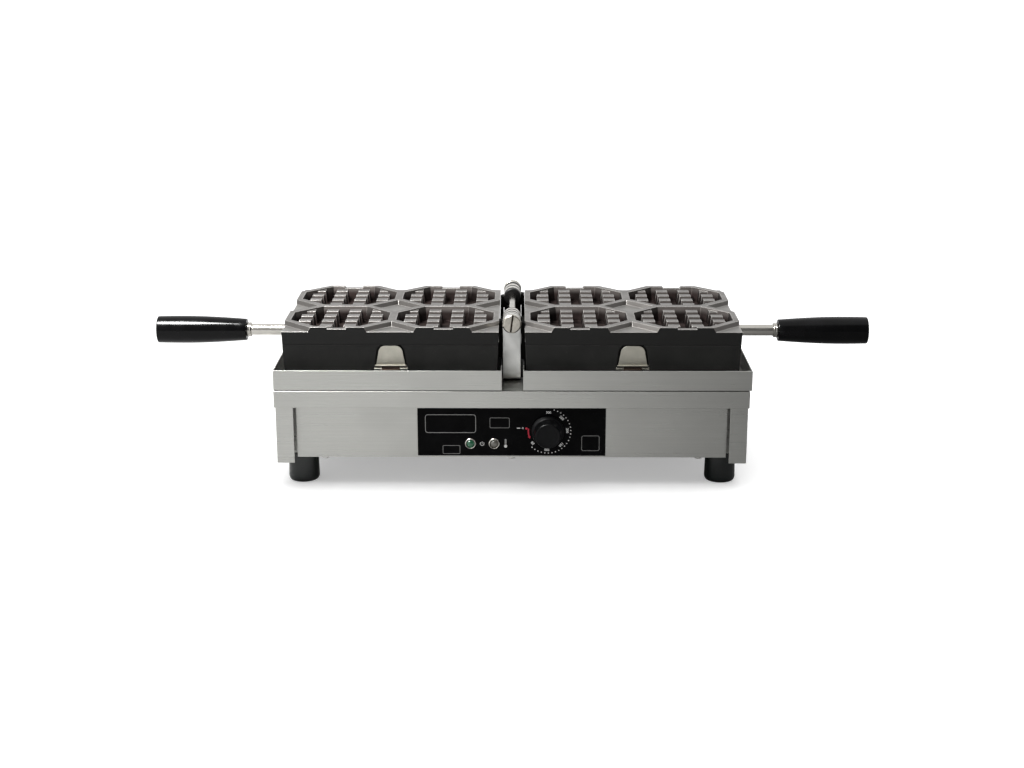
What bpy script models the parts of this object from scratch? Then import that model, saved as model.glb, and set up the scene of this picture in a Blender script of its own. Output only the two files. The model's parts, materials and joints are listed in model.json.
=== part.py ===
"""Two-sided electric waffle iron: two heated plate blocks that fold over a common centre hinge.

Run with: blender --background --python part.py
Units are metres. X runs across the machine, Y from its front to its back, Z up.
The origin is on the ground, under the middle of the machine.
"""

import math

import bmesh
import bpy
from mathutils import Vector

# ---------------------------------------------------------------- driving dimensions

GAP = 0.0003                 # clearance between neighbouring pieces

# Cabinet
BODY_HALF_WIDTH = 0.2500     # outer face of the deck's skirt
BODY_HALF_DEPTH = 0.130      # the deck's front and back edges
SHEET = 0.0010               # stainless sheet
DECK_TOP = 0.1082
SKIRT_BOTTOM = 0.0899
SIDE_BOTTOM = 0.0287         # lower edge of the side panels and their front flanges
FLANGE_WIDTH = 0.0185
PANEL_HALF_WIDTH = 0.228
PANEL_BOTTOM = 0.0327
PANEL_FACE_Y = -0.1205       # front face of the front panel
PANEL_RETURN = 0.0095        # depth of its folded edges
PANEL_WING = 0.0065          # how far those folded edges turn outwards again, behind the flanges
REAR_PANEL_Y = 0.1267        # outer face of the rear panel

# Feet
FOOT_X = 0.2250
FOOT_Y = 0.094
FOOT_RADIUS = 0.0166
STUD_RADIUS = 0.0030
STUD_HEIGHT = 0.0080          # above the base plate

# Drip trays
TRAY_INNER = 0.0112
TRAY_OUTER = 0.2508
TRAY_SHIFT = 0.0010          # the loose trays sit a little to the right
TRAY_TOP = 0.1306
TRAY_BACK = 0.100
TRAY_BACK_TOP = 0.1180       # the low back wall, which slides out under the block
TRAY_SHEET = 0.0011
TRAY_CLEARANCE = 0.0011      # under its floor, for the hem round the deck

# Hinge and plate blocks
HINGE_Z = 0.1727             # hinge axis, and the plane in which the two plates meet
RIM_TOP = HINGE_Z - 0.0003
LOW_LEVEL = HINGE_Z - 0.0053
CAVITY_FLOOR = HINGE_Z - 0.0160
PLATE_BOTTOM = HINGE_Z - 0.0195
BLOCK_BOTTOM = HINGE_Z - 0.0473
BLOCK_INNER = 0.0136
BLOCK_OUTER = 0.2424
BLOCK_FRONT = -0.110
BLOCK_BACK = 0.091
DRAFT = 0.0020               # how much each block's sides lean in from top to bottom

# Waffle cavities, measured at the rim's top
CAVITY_HALF_X = 0.0520
CAVITY_HALF_Y = 0.0452
CAVITY_CHAMFER = 0.0280
RIM_CHAMFER = 0.0310         # outer corner cut of each octagonal rim
MID_RIM = 0.0086             # rim shared by two cavities
FLAT_SLOPE = 0.40            # sideways run of the rims' outer slope per unit of height
WALL_SLOPE = 0.19            # the same for the cavity walls
COLUMN_PITCH = 0.0250
ROW_PITCH = 0.0222
LUG_TOP = HINGE_Z - 0.0023
LUG_TOP_HALF = (0.0063, 0.0050)
LUG_BASE_HALF = (0.0084, 0.0074)
NOTCH_WIDTH = 0.020          # steam notch in each cavity's front or back rim
NOTCH_DEPTH = 0.0020

# Centre hinge, from front to back along Y
STRAP_HALF_WIDTH = 0.0096
AXLE_RADIUS = 0.0035
BORE_RADIUS = AXLE_RADIUS + GAP
RING_RADIUS = 0.0095
HEAD_RADIUS = 0.0100
FRONT_HEAD = (-0.0982, -0.0902)
FRONT_STRAP = (-0.0899, -0.0859)
FRONT_FORK_A = (-0.0856, -0.0773)
FRONT_TONGUE = (-0.0770, -0.0677)
FRONT_FORK_B = (-0.0674, -0.0586)
REAR_BUSH = (0.0310, 0.0360)
REAR_LEFT_RING = (0.0363, 0.0483)
REAR_RIGHT_RING = (0.0486, 0.0606)
REAR_COLUMN = (0.0609, 0.0689)
REAR_HEAD = (0.0692, 0.0767)
DUCT_HALF = (0.0070, 0.0027)  # half size of the wire duct in the rear column

# Handles
HANDLE_Y = -0.010
HANDLE_Z = HINGE_Z - 0.0279
ROD_RADIUS = 0.0061
ROD_START = 0.2200
COLLAR = (0.2895, 0.2942)
COLLAR_RADIUS = 0.0082
GRIP = (0.2945, 0.3933)
GRIP_RADIUS = (0.0120, 0.0152)
GRIP_BORE_DEPTH = 0.040

# Lock tabs
TAB_X = 0.1277
TAB_FACE_Y = -0.1096
TAB_SHEET = 0.0014
TAB_TOP = HINGE_Z - 0.0205
TAB_PIN_Y = -0.1080
TAB_PIN_Z = HINGE_Z - 0.0448
TAB_PIN_RADIUS = 0.0012
TAB_PIN_HALF = 0.0215
RECESS_DEPTH = 0.0048
RECESS_MARGIN = 0.0026

# Controls on the front
LABEL_HALF_WIDTH = 0.0997
LABEL_BOTTOM = 0.0347
LABEL_TOP = 0.0940
LABEL_FACE_Y = -0.1215
DIAL_X = 0.0383
DIAL_Z = 0.0621
KNOB_FRONT_Y = -0.1410
LAMP_Z = 0.0484
LAMPS = {"power": -0.0438, "heating": -0.0186}
LAMP_HOLE = 0.0053
SHAFT_HOLE = 0.0045

# Inside the cabinet
BASE_BOTTOM = PANEL_BOTTOM + SHEET + 2 * GAP
BASE_TOP = BASE_BOTTOM + 0.0015
GLAND_X = 0.150
GLAND_Z = 0.050
GLAND_BACK_Y = 0.1410
SCREW_Y = -0.1155
SCREW_HOLE = 0.0023
VENT_HALF = (0.0080, 0.0020)  # half size of each slot in the rear panel
VENT_Z = 0.070
SCREW_SPACING = 0.1990

SIDES = {"left": -1.0, "right": 1.0}
REACH = 0.010                # how far a cutter stands out of what it cuts
ROUND = 32                   # segments of the larger round pieces
SMALL_ROUND = 20             # segments of pins, bores and screws
SMOOTH_ANGLE = math.radians(35.0)


# ---------------------------------------------------------------- scene and materials

def clear_scene():
    for old in list(bpy.data.objects):
        bpy.data.objects.remove(old, do_unlink=True)


def make_material(name, colour, roughness, metallic):
    material = bpy.data.materials.new(name)
    material.use_nodes = True
    shader = material.node_tree.nodes["Principled BSDF"]
    shader.inputs["Base Color"].default_value = (*colour, 1.0)
    shader.inputs["Roughness"].default_value = roughness
    shader.inputs["Metallic"].default_value = metallic
    material.diffuse_color = (*colour, 1.0)
    return material


def make_materials():
    """Colour, roughness and metallic value of each finish."""
    finishes = {
        "steel": ((0.42, 0.42, 0.40), 0.34, 1.0),
        "polished_steel": ((0.66, 0.65, 0.61), 0.20, 1.0),
        "nickel": ((0.58, 0.56, 0.50), 0.28, 1.0),
        "casting": ((0.022, 0.022, 0.020), 0.55, 0.2),
        "plate_iron": ((0.10, 0.095, 0.09), 0.48, 0.6),
        "phenolic": ((0.010, 0.010, 0.011), 0.22, 0.0),
        "label": ((0.006, 0.006, 0.006), 0.25, 0.0),
        "knob_plastic": ((0.008, 0.008, 0.008), 0.40, 0.0),
        "foot_plastic": ((0.010, 0.014, 0.013), 0.25, 0.0),
        "black_oxide": ((0.015, 0.015, 0.015), 0.40, 0.5),
        "green_lens": ((0.01, 0.16, 0.06), 0.15, 0.0),
        "clear_lens": ((0.62, 0.62, 0.58), 0.12, 0.0),
        "heater_sheath": ((0.16, 0.14, 0.12), 0.45, 0.9),
        "mineral_wool": ((0.60, 0.56, 0.42), 0.95, 0.0),
        "white_plastic": ((0.62, 0.61, 0.58), 0.50, 0.0),
        "grey_plastic": ((0.09, 0.09, 0.10), 0.50, 0.0),
        "lead_sleeve": ((0.50, 0.47, 0.40), 0.80, 0.0),
    }
    return {name: make_material(name, *values) for name, values in finishes.items()}


# ---------------------------------------------------------------- shape helpers

def place(axis, u, v, w):
    """Point with w along the axis and (u, v) along the other two, in X, Y, Z order."""
    if axis == "X":
        return Vector((w, u, v))
    if axis == "Y":
        return Vector((u, w, v))
    return Vector((u, v, w))


def add_prism(mesh, axis, low, high, outline, outline_high=None):
    """Closed body between an outline at low and one at high along the axis."""
    outline_high = outline_high or outline
    rings = []
    for position, points in ((low, outline), (high, outline_high)):
        rings.append([mesh.verts.new(place(axis, u, v, position)) for u, v in points])
    count = len(outline)
    faces = [mesh.faces.new(rings[0]), mesh.faces.new(rings[1])]
    for i in range(count):
        j = (i + 1) % count
        faces.append(mesh.faces.new((rings[0][i], rings[0][j], rings[1][j], rings[1][i])))
    bmesh.ops.recalc_face_normals(mesh, faces=faces)


def rectangle(u0, u1, v0, v1):
    return [(u0, v0), (u1, v0), (u1, v1), (u0, v1)]


def add_box(mesh, x_range, y_range, z_range):
    add_prism(mesh, "Z", z_range[0], z_range[1], rectangle(*x_range, *y_range))


def arc(centre, radii, start, end, steps):
    """Points from the start angle to the end angle, in degrees."""
    points = []
    for i in range(steps + 1):
        angle = math.radians(start + (end - start) * i / steps)
        points.append((centre[0] + radii[0] * math.cos(angle), centre[1] + radii[1] * math.sin(angle)))
    return points


def circle(centre, radius, segments):
    return arc(centre, (radius, radius), 0.0, 360.0 * (segments - 1) / segments, segments - 1)


def add_turned(mesh, axis, centre, profile, segments, ring=False):
    """Turn (radius, position) points about a line through centre (u, v) along the axis.

    A solid's profile starts and ends on the axis; a ring's profile closes on itself.
    """
    loops = []
    for radius, position in profile:
        if radius == 0.0:
            loops.append([mesh.verts.new(place(axis, *centre, position))])
        else:
            points = circle(centre, radius, segments)
            loops.append([mesh.verts.new(place(axis, u, v, position)) for u, v in points])
    pairs = list(zip(loops, loops[1:]))
    if ring:
        pairs.append((loops[-1], loops[0]))
    faces = []
    for first, second in pairs:
        for i in range(segments):
            j = (i + 1) % segments
            corners = [first[i % len(first)], first[j % len(first)],
                       second[j % len(second)], second[i % len(second)]]
            unique = list(dict.fromkeys(corners))
            faces.append(mesh.faces.new(unique))
    bmesh.ops.recalc_face_normals(mesh, faces=faces)


def add_rod(mesh, axis, centre, radius, low, high, segments=SMALL_ROUND):
    add_prism(mesh, axis, low, high, circle(centre, radius, segments))


def empty_at(name, position):
    """Empty on a joint's axis, which carries the pieces of one moving body."""
    pivot = bpy.data.objects.new(name, None)
    pivot.location = position
    bpy.context.scene.collection.objects.link(pivot)
    return pivot


def add_object(name, mesh, material, pivot=None, smooth=False):
    """Object from a bmesh drawn in world coordinates, parented to its body's pivot."""
    if pivot is not None:
        bmesh.ops.translate(mesh, verts=mesh.verts, vec=-pivot.location)
    data = bpy.data.meshes.new(name)
    mesh.to_mesh(data)
    mesh.free()
    if smooth:
        data.shade_smooth()
        data.set_sharp_from_angle(angle=SMOOTH_ANGLE)
    piece = bpy.data.objects.new(name, data)
    piece.parent = pivot
    bpy.context.scene.collection.objects.link(piece)
    if material is not None:
        data.materials.append(material)
    return piece


def combine(piece, mesh, operation, label):
    """Boolean of a piece with a bmesh drawn in world coordinates."""
    tool = add_object(f"{piece.name}_{label}", mesh, None)
    tool.hide_render = True
    tool.display_type = "WIRE"
    modifier = piece.modifiers.new(label, "BOOLEAN")
    modifier.operation = operation
    modifier.solver = "EXACT"
    modifier.object = tool


def add_tube(name, points, radius, material, pivot=None):
    """Round tube along a smooth curve through the points, with closed ends."""
    origin = pivot.location if pivot is not None else Vector((0.0, 0.0, 0.0))
    curve = bpy.data.curves.new(name, "CURVE")
    curve.dimensions = "3D"
    curve.bevel_depth = radius
    curve.bevel_resolution = 2
    curve.use_fill_caps = True
    spline = curve.splines.new("POLY")
    spline.points.add(len(points) - 1)
    for target, point in zip(spline.points, points):
        target.co = (*(Vector(point) - origin), 1.0)
    curve.materials.append(material)
    tube = bpy.data.objects.new(name, curve)
    tube.parent = pivot
    bpy.context.scene.collection.objects.link(tube)
    return tube


def smooth_path(points, steps):
    """Catmull-Rom curve through the points."""
    padded = [Vector(points[0]), *map(Vector, points), Vector(points[-1])]
    path = []
    for a, b, c, d in zip(padded, padded[1:], padded[2:], padded[3:]):
        for i in range(steps):
            t = i / steps
            path.append(0.5 * (2 * b + (c - a) * t + (2 * a - 5 * b + 4 * c - d) * t * t
                               + (3 * b - 3 * c + d - a) * t ** 3))
    path.append(padded[-1])
    return path


# ---------------------------------------------------------------- cabinet

def build_deck(steel):
    """Shallow sheet lid with a skirt all round, and a hole for the rear column's leads."""
    mesh = bmesh.new()
    add_box(mesh, (-BODY_HALF_WIDTH, BODY_HALF_WIDTH), (-BODY_HALF_DEPTH, BODY_HALF_DEPTH),
            (SKIRT_BOTTOM, DECK_TOP))
    deck = add_object("deck", mesh, steel)
    inside_x = BODY_HALF_WIDTH - SHEET
    inside_y = BODY_HALF_DEPTH - SHEET
    mesh = bmesh.new()
    add_box(mesh, (-inside_x, inside_x), (-inside_y, inside_y), (SKIRT_BOTTOM - REACH, DECK_TOP - SHEET))
    combine(deck, mesh, "DIFFERENCE", "hollow")
    mesh = bmesh.new()
    middle = sum(REAR_COLUMN) / 2
    add_box(mesh, (-DUCT_HALF[0], DUCT_HALF[0]), (middle - DUCT_HALF[1], middle + DUCT_HALF[1]),
            (DECK_TOP - REACH, DECK_TOP + REACH))
    combine(deck, mesh, "DIFFERENCE", "lead_hole")


def build_side_panels(steel):
    """Side walls whose front and back edges are folded in as flanges."""
    outer = BODY_HALF_WIDTH - SHEET - GAP
    inner = outer - SHEET
    edge = outer - FLANGE_WIDTH
    face = BODY_HALF_DEPTH - SHEET - GAP
    back = face - SHEET
    outline = [(edge, -face), (outer, -face), (outer, face), (edge, face),
               (edge, back), (inner, back), (inner, -back), (edge, -back)]
    for side, sign in SIDES.items():
        mesh = bmesh.new()
        mirrored = [(sign * x, y) for x, y in outline]
        add_prism(mesh, "Z", SIDE_BOTTOM, DECK_TOP - SHEET - GAP, mirrored)
        add_object(f"{side}_side_panel", mesh, steel)


def build_front_panel(steel):
    """Recessed panel with its sides and bottom folded back, and holes for the controls.

    Its side folds turn outwards again, so they close the gaps beside the side panels' flanges.
    """
    top = DECK_TOP - SHEET - GAP
    face = PANEL_FACE_Y
    mesh = bmesh.new()
    add_box(mesh, (-PANEL_HALF_WIDTH, PANEL_HALF_WIDTH), (face, face + PANEL_RETURN), (PANEL_BOTTOM, top))
    panel = add_object("front_panel", mesh, steel)
    inside = PANEL_HALF_WIDTH - SHEET
    mesh = bmesh.new()
    add_box(mesh, (-inside, inside), (face + SHEET, face + 0.02), (PANEL_BOTTOM + SHEET, top + 0.01))
    combine(panel, mesh, "DIFFERENCE", "hollow")
    mesh = bmesh.new()
    rear = face + PANEL_RETURN
    for sign in SIDES.values():
        span = sorted((sign * (PANEL_HALF_WIDTH - SHEET / 2), sign * (PANEL_HALF_WIDTH + PANEL_WING)))
        add_box(mesh, span, (rear - SHEET, rear), (PANEL_BOTTOM + 2 * SHEET, top - SHEET))
    combine(panel, mesh, "UNION", "wings")
    mesh = bmesh.new()
    add_rod(mesh, "Y", (DIAL_X, DIAL_Z), SHAFT_HOLE, face - REACH, face + REACH)
    for x in LAMPS.values():
        add_rod(mesh, "Y", (x, LAMP_Z), LAMP_HOLE, face - REACH, face + REACH)
    for x in (-SCREW_SPACING, 0.0, SCREW_SPACING):
        add_rod(mesh, "Z", (x, SCREW_Y), SCREW_HOLE, PANEL_BOTTOM - REACH, PANEL_BOTTOM + 0.005)
    combine(panel, mesh, "DIFFERENCE", "holes")


def build_rear_panel(steel):
    """Flat back cover with a row of vents and the hole for the cable gland."""
    half = PANEL_HALF_WIDTH + 0.0015
    mesh = bmesh.new()
    add_box(mesh, (-half, half), (REAR_PANEL_Y - SHEET, REAR_PANEL_Y), (PANEL_BOTTOM, DECK_TOP - SHEET - GAP))
    panel = add_object("rear_panel", mesh, steel)
    mesh = bmesh.new()
    through = (REAR_PANEL_Y - REACH, REAR_PANEL_Y + REACH)
    add_rod(mesh, "Y", (GLAND_X, GLAND_Z), 0.0080, *through)
    for i in range(8):
        x = -0.150 + 0.024 * i
        add_box(mesh, (x - VENT_HALF[0], x + VENT_HALF[0]), through,
                (VENT_Z - VENT_HALF[1], VENT_Z + VENT_HALF[1]))
    combine(panel, mesh, "DIFFERENCE", "openings")


def build_base_plate(steel):
    """Floor of the cabinet, with vents and the holes for the feet and the panel screws."""
    half = BODY_HALF_WIDTH - 2 * SHEET - 3 * GAP
    tongue = PANEL_HALF_WIDTH - 3 * SHEET
    front = PANEL_FACE_Y + SHEET + GAP
    shoulder = front + PANEL_RETURN
    back = REAR_PANEL_Y - SHEET - GAP
    mesh = bmesh.new()
    add_prism(mesh, "Z", BASE_BOTTOM, BASE_TOP, [
        (-half, shoulder), (-tongue, shoulder), (-tongue, front), (tongue, front), (tongue, shoulder),
        (half, shoulder), (half, back), (-half, back)])
    base = add_object("base_plate", mesh, steel)
    mesh = bmesh.new()
    low, high = BASE_BOTTOM - REACH, BASE_TOP + REACH
    for sign_x in SIDES.values():
        for sign_y in (-1.0, 1.0):
            add_rod(mesh, "Z", (sign_x * FOOT_X, sign_y * FOOT_Y), STUD_RADIUS + GAP, low, high, 12)
    for x in (-SCREW_SPACING, 0.0, SCREW_SPACING):
        add_rod(mesh, "Z", (x, SCREW_Y), SCREW_HOLE, low, high, 12)
    for i in range(6):
        x = -0.125 + 0.050 * i
        add_box(mesh, (x - 0.002, x + 0.002), (-0.030, 0.010), (low, high))
    combine(base, mesh, "DIFFERENCE", "openings")


def build_feet(plastic):
    """Round feet with a moulded-in stud that passes through the base plate."""
    top = BASE_BOTTOM - GAP
    profile = [(0.0, 0.0), (FOOT_RADIUS - 0.0025, 0.0), (FOOT_RADIUS - 0.0008, 0.0010), (FOOT_RADIUS, 0.0030),
               (FOOT_RADIUS - 0.0008, top), (STUD_RADIUS, top), (STUD_RADIUS, BASE_TOP + STUD_HEIGHT),
               (0.0, BASE_TOP + STUD_HEIGHT)]
    for side, sign_x in SIDES.items():
        for end, sign_y in (("front", -1.0), ("back", 1.0)):
            mesh = bmesh.new()
            add_turned(mesh, "Z", (sign_x * FOOT_X, sign_y * FOOT_Y), profile, ROUND)
            add_object(f"{end}_{side}_foot", mesh, plastic, smooth=True)


def build_panel_screws(steel):
    """Pan-head screws that hold the front panel's bottom edge to the base plate."""
    head_top = PANEL_BOTTOM - GAP
    profile = [(0.0, head_top - 0.0022), (0.0028, head_top - 0.0022), (0.0040, head_top - 0.0010),
               (0.0040, head_top), (0.0020, head_top), (0.0020, BASE_TOP + 0.005), (0.0, BASE_TOP + 0.005)]
    for i, x in enumerate((-SCREW_SPACING, 0.0, SCREW_SPACING)):
        mesh = bmesh.new()
        add_turned(mesh, "Z", (x, SCREW_Y), profile, SMALL_ROUND)
        add_object(f"panel_screw_{i + 1}", mesh, steel, smooth=True)


# ---------------------------------------------------------------- controls

def build_label(material):
    """Glossy black control plate fixed to the front panel."""
    mesh = bmesh.new()
    add_box(mesh, (-LABEL_HALF_WIDTH, LABEL_HALF_WIDTH), (LABEL_FACE_Y, PANEL_FACE_Y - GAP),
            (LABEL_BOTTOM, LABEL_TOP))
    label = add_object("control_label", mesh, material)
    mesh = bmesh.new()
    add_rod(mesh, "Y", (DIAL_X, DIAL_Z), SHAFT_HOLE, LABEL_FACE_Y - REACH, LABEL_FACE_Y + REACH)
    for x in LAMPS.values():
        add_rod(mesh, "Y", (x, LAMP_Z), LAMP_HOLE, LABEL_FACE_Y - REACH, LABEL_FACE_Y + REACH)
    combine(label, mesh, "DIFFERENCE", "holes")


def build_thermostat(materials, knob_pivot):
    """Thermostat switch behind the panel, its shaft through the panel, and the turning knob."""
    back = PANEL_FACE_Y + SHEET + GAP
    mesh = bmesh.new()
    add_box(mesh, (DIAL_X - 0.017, DIAL_X + 0.017), (back, back + 0.026), (DIAL_Z - 0.017, DIAL_Z + 0.017))
    body = add_object("thermostat", mesh, materials["grey_plastic"])
    mesh = bmesh.new()
    add_rod(mesh, "Y", (DIAL_X, DIAL_Z), 0.0030, -0.1345, back + 0.002)
    combine(body, mesh, "UNION", "shaft")

    skirt_back = LABEL_FACE_Y - 0.0007
    profile = [(0.0, KNOB_FRONT_Y), (0.0120, KNOB_FRONT_Y), (0.0131, KNOB_FRONT_Y + 0.0006),
               (0.0136, KNOB_FRONT_Y + 0.0020), (0.0142, skirt_back - 0.0042), (0.0150, skirt_back - 0.0032),
               (0.0168, skirt_back - 0.0028), (0.0174, skirt_back - 0.0020), (0.0174, skirt_back),
               (0.0034, skirt_back), (0.0034, -0.1349), (0.0, -0.1349)]
    mesh = bmesh.new()
    add_turned(mesh, "Y", (DIAL_X, DIAL_Z), profile, ROUND)
    add_object("thermostat_knob", mesh, materials["knob_plastic"], knob_pivot, smooth=True)


def build_lamps(materials):
    """Two neon indicator lamps, each a chromed bezel with a lens in it."""
    face = LABEL_FACE_Y - GAP
    bezel = [(0.0044, face - 0.0012), (0.0050, face - 0.0017), (0.0059, face - 0.0012), (0.0062, face),
             (0.0049, face), (0.0049, -0.106), (0.0044, -0.106)]
    lens = [(0.0, face - 0.0026), (0.0020, face - 0.0022), (0.0034, face - 0.0012), (0.0041, face + 0.0004),
            (0.0041, -0.108), (0.0, -0.108)]
    lenses = {"power": "green_lens", "heating": "clear_lens"}
    for name, x in LAMPS.items():
        mesh = bmesh.new()
        add_turned(mesh, "Y", (x, LAMP_Z), bezel, SMALL_ROUND + 4, ring=True)
        add_object(f"{name}_lamp_bezel", mesh, materials["polished_steel"], smooth=True)
        mesh = bmesh.new()
        add_turned(mesh, "Y", (x, LAMP_Z), lens, SMALL_ROUND)
        add_object(f"{name}_lamp_lens", mesh, materials[lenses[name]], smooth=True)


# ---------------------------------------------------------------- inside the cabinet

def build_electrics(materials):
    """Terminal block, relay, safety thermostat, cable gland and the leads between them."""
    floor = BASE_TOP + GAP
    terminal = (0.120, 0.180, 0.076, 0.096)
    mesh = bmesh.new()
    add_box(mesh, terminal[:2], terminal[2:], (floor, floor + 0.020))
    block = add_object("terminal_block", mesh, materials["white_plastic"])
    mesh = bmesh.new()
    for i in range(5):
        add_rod(mesh, "Z", (0.128 + 0.011 * i, 0.086), 0.0032, floor + 0.010, floor + 0.03, 12)
    combine(block, mesh, "DIFFERENCE", "screw_wells")

    mesh = bmesh.new()
    add_box(mesh, (0.040, 0.080), (0.060, 0.092), (floor, floor + 0.034))
    add_object("power_relay", mesh, materials["grey_plastic"])

    mesh = bmesh.new()
    thermostat = [(0.0, floor), (0.012, floor), (0.012, floor + 0.008), (0.008, floor + 0.008),
                  (0.008, floor + 0.022), (0.0, floor + 0.022)]
    add_turned(mesh, "Z", (-0.060, 0.060), thermostat, SMALL_ROUND)
    add_object("safety_thermostat", mesh, materials["white_plastic"], smooth=True)

    outside = REAR_PANEL_Y + GAP
    gland = [(0.0045, 0.114), (0.0077, 0.114), (0.0077, outside), (0.0110, outside),
             (0.0110, outside + 0.0065), (0.0092, outside + 0.0065), (0.0078, GLAND_BACK_Y),
             (0.0045, GLAND_BACK_Y)]
    mesh = bmesh.new()
    add_turned(mesh, "Y", (GLAND_X, GLAND_Z), gland, SMALL_ROUND, ring=True)
    add_object("cable_gland", mesh, materials["grey_plastic"], smooth=True)

    sleeve = materials["lead_sleeve"]
    supply = [(GLAND_X, 0.1135, GLAND_Z), (GLAND_X, 0.1095, GLAND_Z), (GLAND_X, 0.1010, 0.0465),
              (GLAND_X, 0.0967, 0.0465)]
    add_tube("supply_lead", supply, 0.0036, sleeve)
    column = sum(REAR_COLUMN) / 2
    heater = [(0.1192, 0.086, 0.046), (0.112, 0.086, 0.047), (0.090, 0.100, 0.062), (0.050, 0.104, 0.084),
              (0.018, 0.092, 0.093), (0.003, 0.072, 0.097), (0.0, column, 0.104), (0.0, column, 0.122),
              (0.0, column, 0.140)]
    add_tube("heater_lead", smooth_path(heater, 3), 0.0019, sleeve)
    lamp = [(0.0392, 0.076, 0.052), (0.030, 0.076, 0.052), (0.020, 0.066, 0.056), (0.0, 0.020, 0.060),
            (-0.016, -0.050, 0.056), (LAMPS["heating"], -0.092, 0.049), (LAMPS["heating"], -0.1074, LAMP_Z)]
    add_tube("lamp_lead", smooth_path(lamp, 3), 0.0016, sleeve)


# ---------------------------------------------------------------- drip trays

def build_trays(steel, pivots):
    """Shallow trays under the blocks; the low back wall lets them slide out forwards."""
    floor = DECK_TOP + TRAY_CLEARANCE
    for side, sign in SIDES.items():
        edges = sorted(sign * x + TRAY_SHIFT for x in (TRAY_INNER, TRAY_OUTER))
        inner = (edges[0] + TRAY_SHEET, edges[1] - TRAY_SHEET)
        mesh = bmesh.new()
        add_box(mesh, edges, (-BODY_HALF_DEPTH, TRAY_BACK), (floor, TRAY_TOP))
        tray = add_object(f"{side}_drip_tray", mesh, steel, pivots[side])
        mesh = bmesh.new()
        add_box(mesh, inner, (-BODY_HALF_DEPTH + TRAY_SHEET, TRAY_BACK - TRAY_SHEET),
                (floor + TRAY_SHEET, TRAY_TOP + REACH))
        combine(tray, mesh, "DIFFERENCE", "hollow")
        mesh = bmesh.new()
        add_box(mesh, (edges[0] - REACH, edges[1] + REACH), (TRAY_BACK - 3 * TRAY_SHEET, TRAY_BACK + REACH),
                (TRAY_BACK_TOP, TRAY_TOP + REACH))
        combine(tray, mesh, "DIFFERENCE", "low_back")


# ---------------------------------------------------------------- plate blocks

def block_outline(sign, z):
    """A block's rectangle at height z: its sides lean in from the rim's top to the bottom."""
    inset = DRAFT * (RIM_TOP - z) / (RIM_TOP - BLOCK_BOTTOM)
    edges = sorted((sign * (BLOCK_INNER + inset), sign * (BLOCK_OUTER - inset)))
    return rectangle(*edges, BLOCK_FRONT, BLOCK_BACK)


def cavity_centres(sign):
    middle_x = sign * (BLOCK_INNER + BLOCK_OUTER) / 2
    middle_y = (BLOCK_FRONT + BLOCK_BACK) / 2
    offset_x = MID_RIM / 2 + CAVITY_HALF_X
    offset_y = MID_RIM / 2 + CAVITY_HALF_Y
    return [(middle_x + a * offset_x, middle_y + b * offset_y) for a in (-1, 1) for b in (-1, 1)]


def octagon(centre, half_x, half_y, chamfer):
    corners = []
    for a, b in ((1, 1), (-1, 1), (-1, -1), (1, -1)):
        pair = [(a * half_x, b * (half_y - chamfer)), (a * (half_x - chamfer), b * half_y)]
        corners += pair if a * b > 0 else pair[::-1]
    return [(centre[0] + x, centre[1] + y) for x, y in corners]


def add_low_flats(mesh, sign):
    """What is cut away between the octagonal rims: a diamond, four triangles and four corners."""
    middle_x = sign * (BLOCK_INNER + BLOCK_OUTER) / 2
    middle_y = (BLOCK_FRONT + BLOCK_BACK) / 2
    half_x = (BLOCK_OUTER - BLOCK_INNER) / 2
    half_y = (BLOCK_BACK - BLOCK_FRONT) / 2
    top = RIM_TOP + 0.001
    widen = FLAT_SLOPE * (top - LOW_LEVEL) * math.sqrt(2.0)
    offset_x = MID_RIM / 2 + CAVITY_HALF_X
    offset_y = MID_RIM / 2 + CAVITY_HALF_Y
    rim_half_x = half_x - offset_x + 0.0001
    rim_half_y = half_y - offset_y + 0.0001
    # Distance from the block's middle to the rims' sloping edges, along either axis.
    reach = offset_x + offset_y - rim_half_x - rim_half_y + RIM_CHAMFER - widen * 0.85
    beyond = 0.006

    def flat(points, grow):
        low = [(middle_x + x, middle_y + y) for x, y in points]
        high = [(middle_x + x + dx, middle_y + y + dy) for (x, y), (dx, dy) in zip(points, grow)]
        add_prism(mesh, "Z", LOW_LEVEL, top, low, high)

    flat([(reach, 0), (0, reach), (-reach, 0), (0, -reach)],
         [(widen, 0), (0, widen), (-widen, 0), (0, -widen)])
    for s in (-1, 1):
        edge = s * (half_y + beyond)
        run = reach + beyond
        flat([(-run, edge), (run, edge), (0, s * (half_y - reach))],
             [(-widen, 0), (widen, 0), (0, -s * widen)])
        edge = s * (half_x + beyond)
        flat([(edge, -run), (edge, run), (s * (half_x - reach), 0)],
             [(0, -widen), (0, widen), (-s * widen, 0)])
    leg = RIM_CHAMFER + 2 * beyond - widen * 0.85
    for a in (-1, 1):
        for b in (-1, 1):
            x = a * (half_x + beyond)
            y = b * (half_y + beyond)
            flat([(x, y), (x - a * leg, y), (x, y - b * leg)],
                 [(0, 0), (-a * widen, 0), (0, -b * widen)])


def lug_outline(centre, column, row, half, wall_sum):
    """Outline of one waffle lug; a corner lug is cut to a triangle by the slanting wall."""
    x, y = column * COLUMN_PITCH, row * ROW_PITCH
    if abs(column) > 1 and abs(row) > 1:
        a, b = math.copysign(1, column), math.copysign(1, row)
        near_x, near_y = x - a * half[0], y - b * half[1]
        leg = wall_sum - abs(near_x) - abs(near_y)
        points = [(near_x, near_y), (near_x + a * leg, near_y), (near_x, near_y + b * leg)]
    else:
        points = rectangle(x - half[0], x + half[0], y - half[1], y + half[1])
    return [(centre[0] + px, centre[1] + py) for px, py in points]


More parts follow.
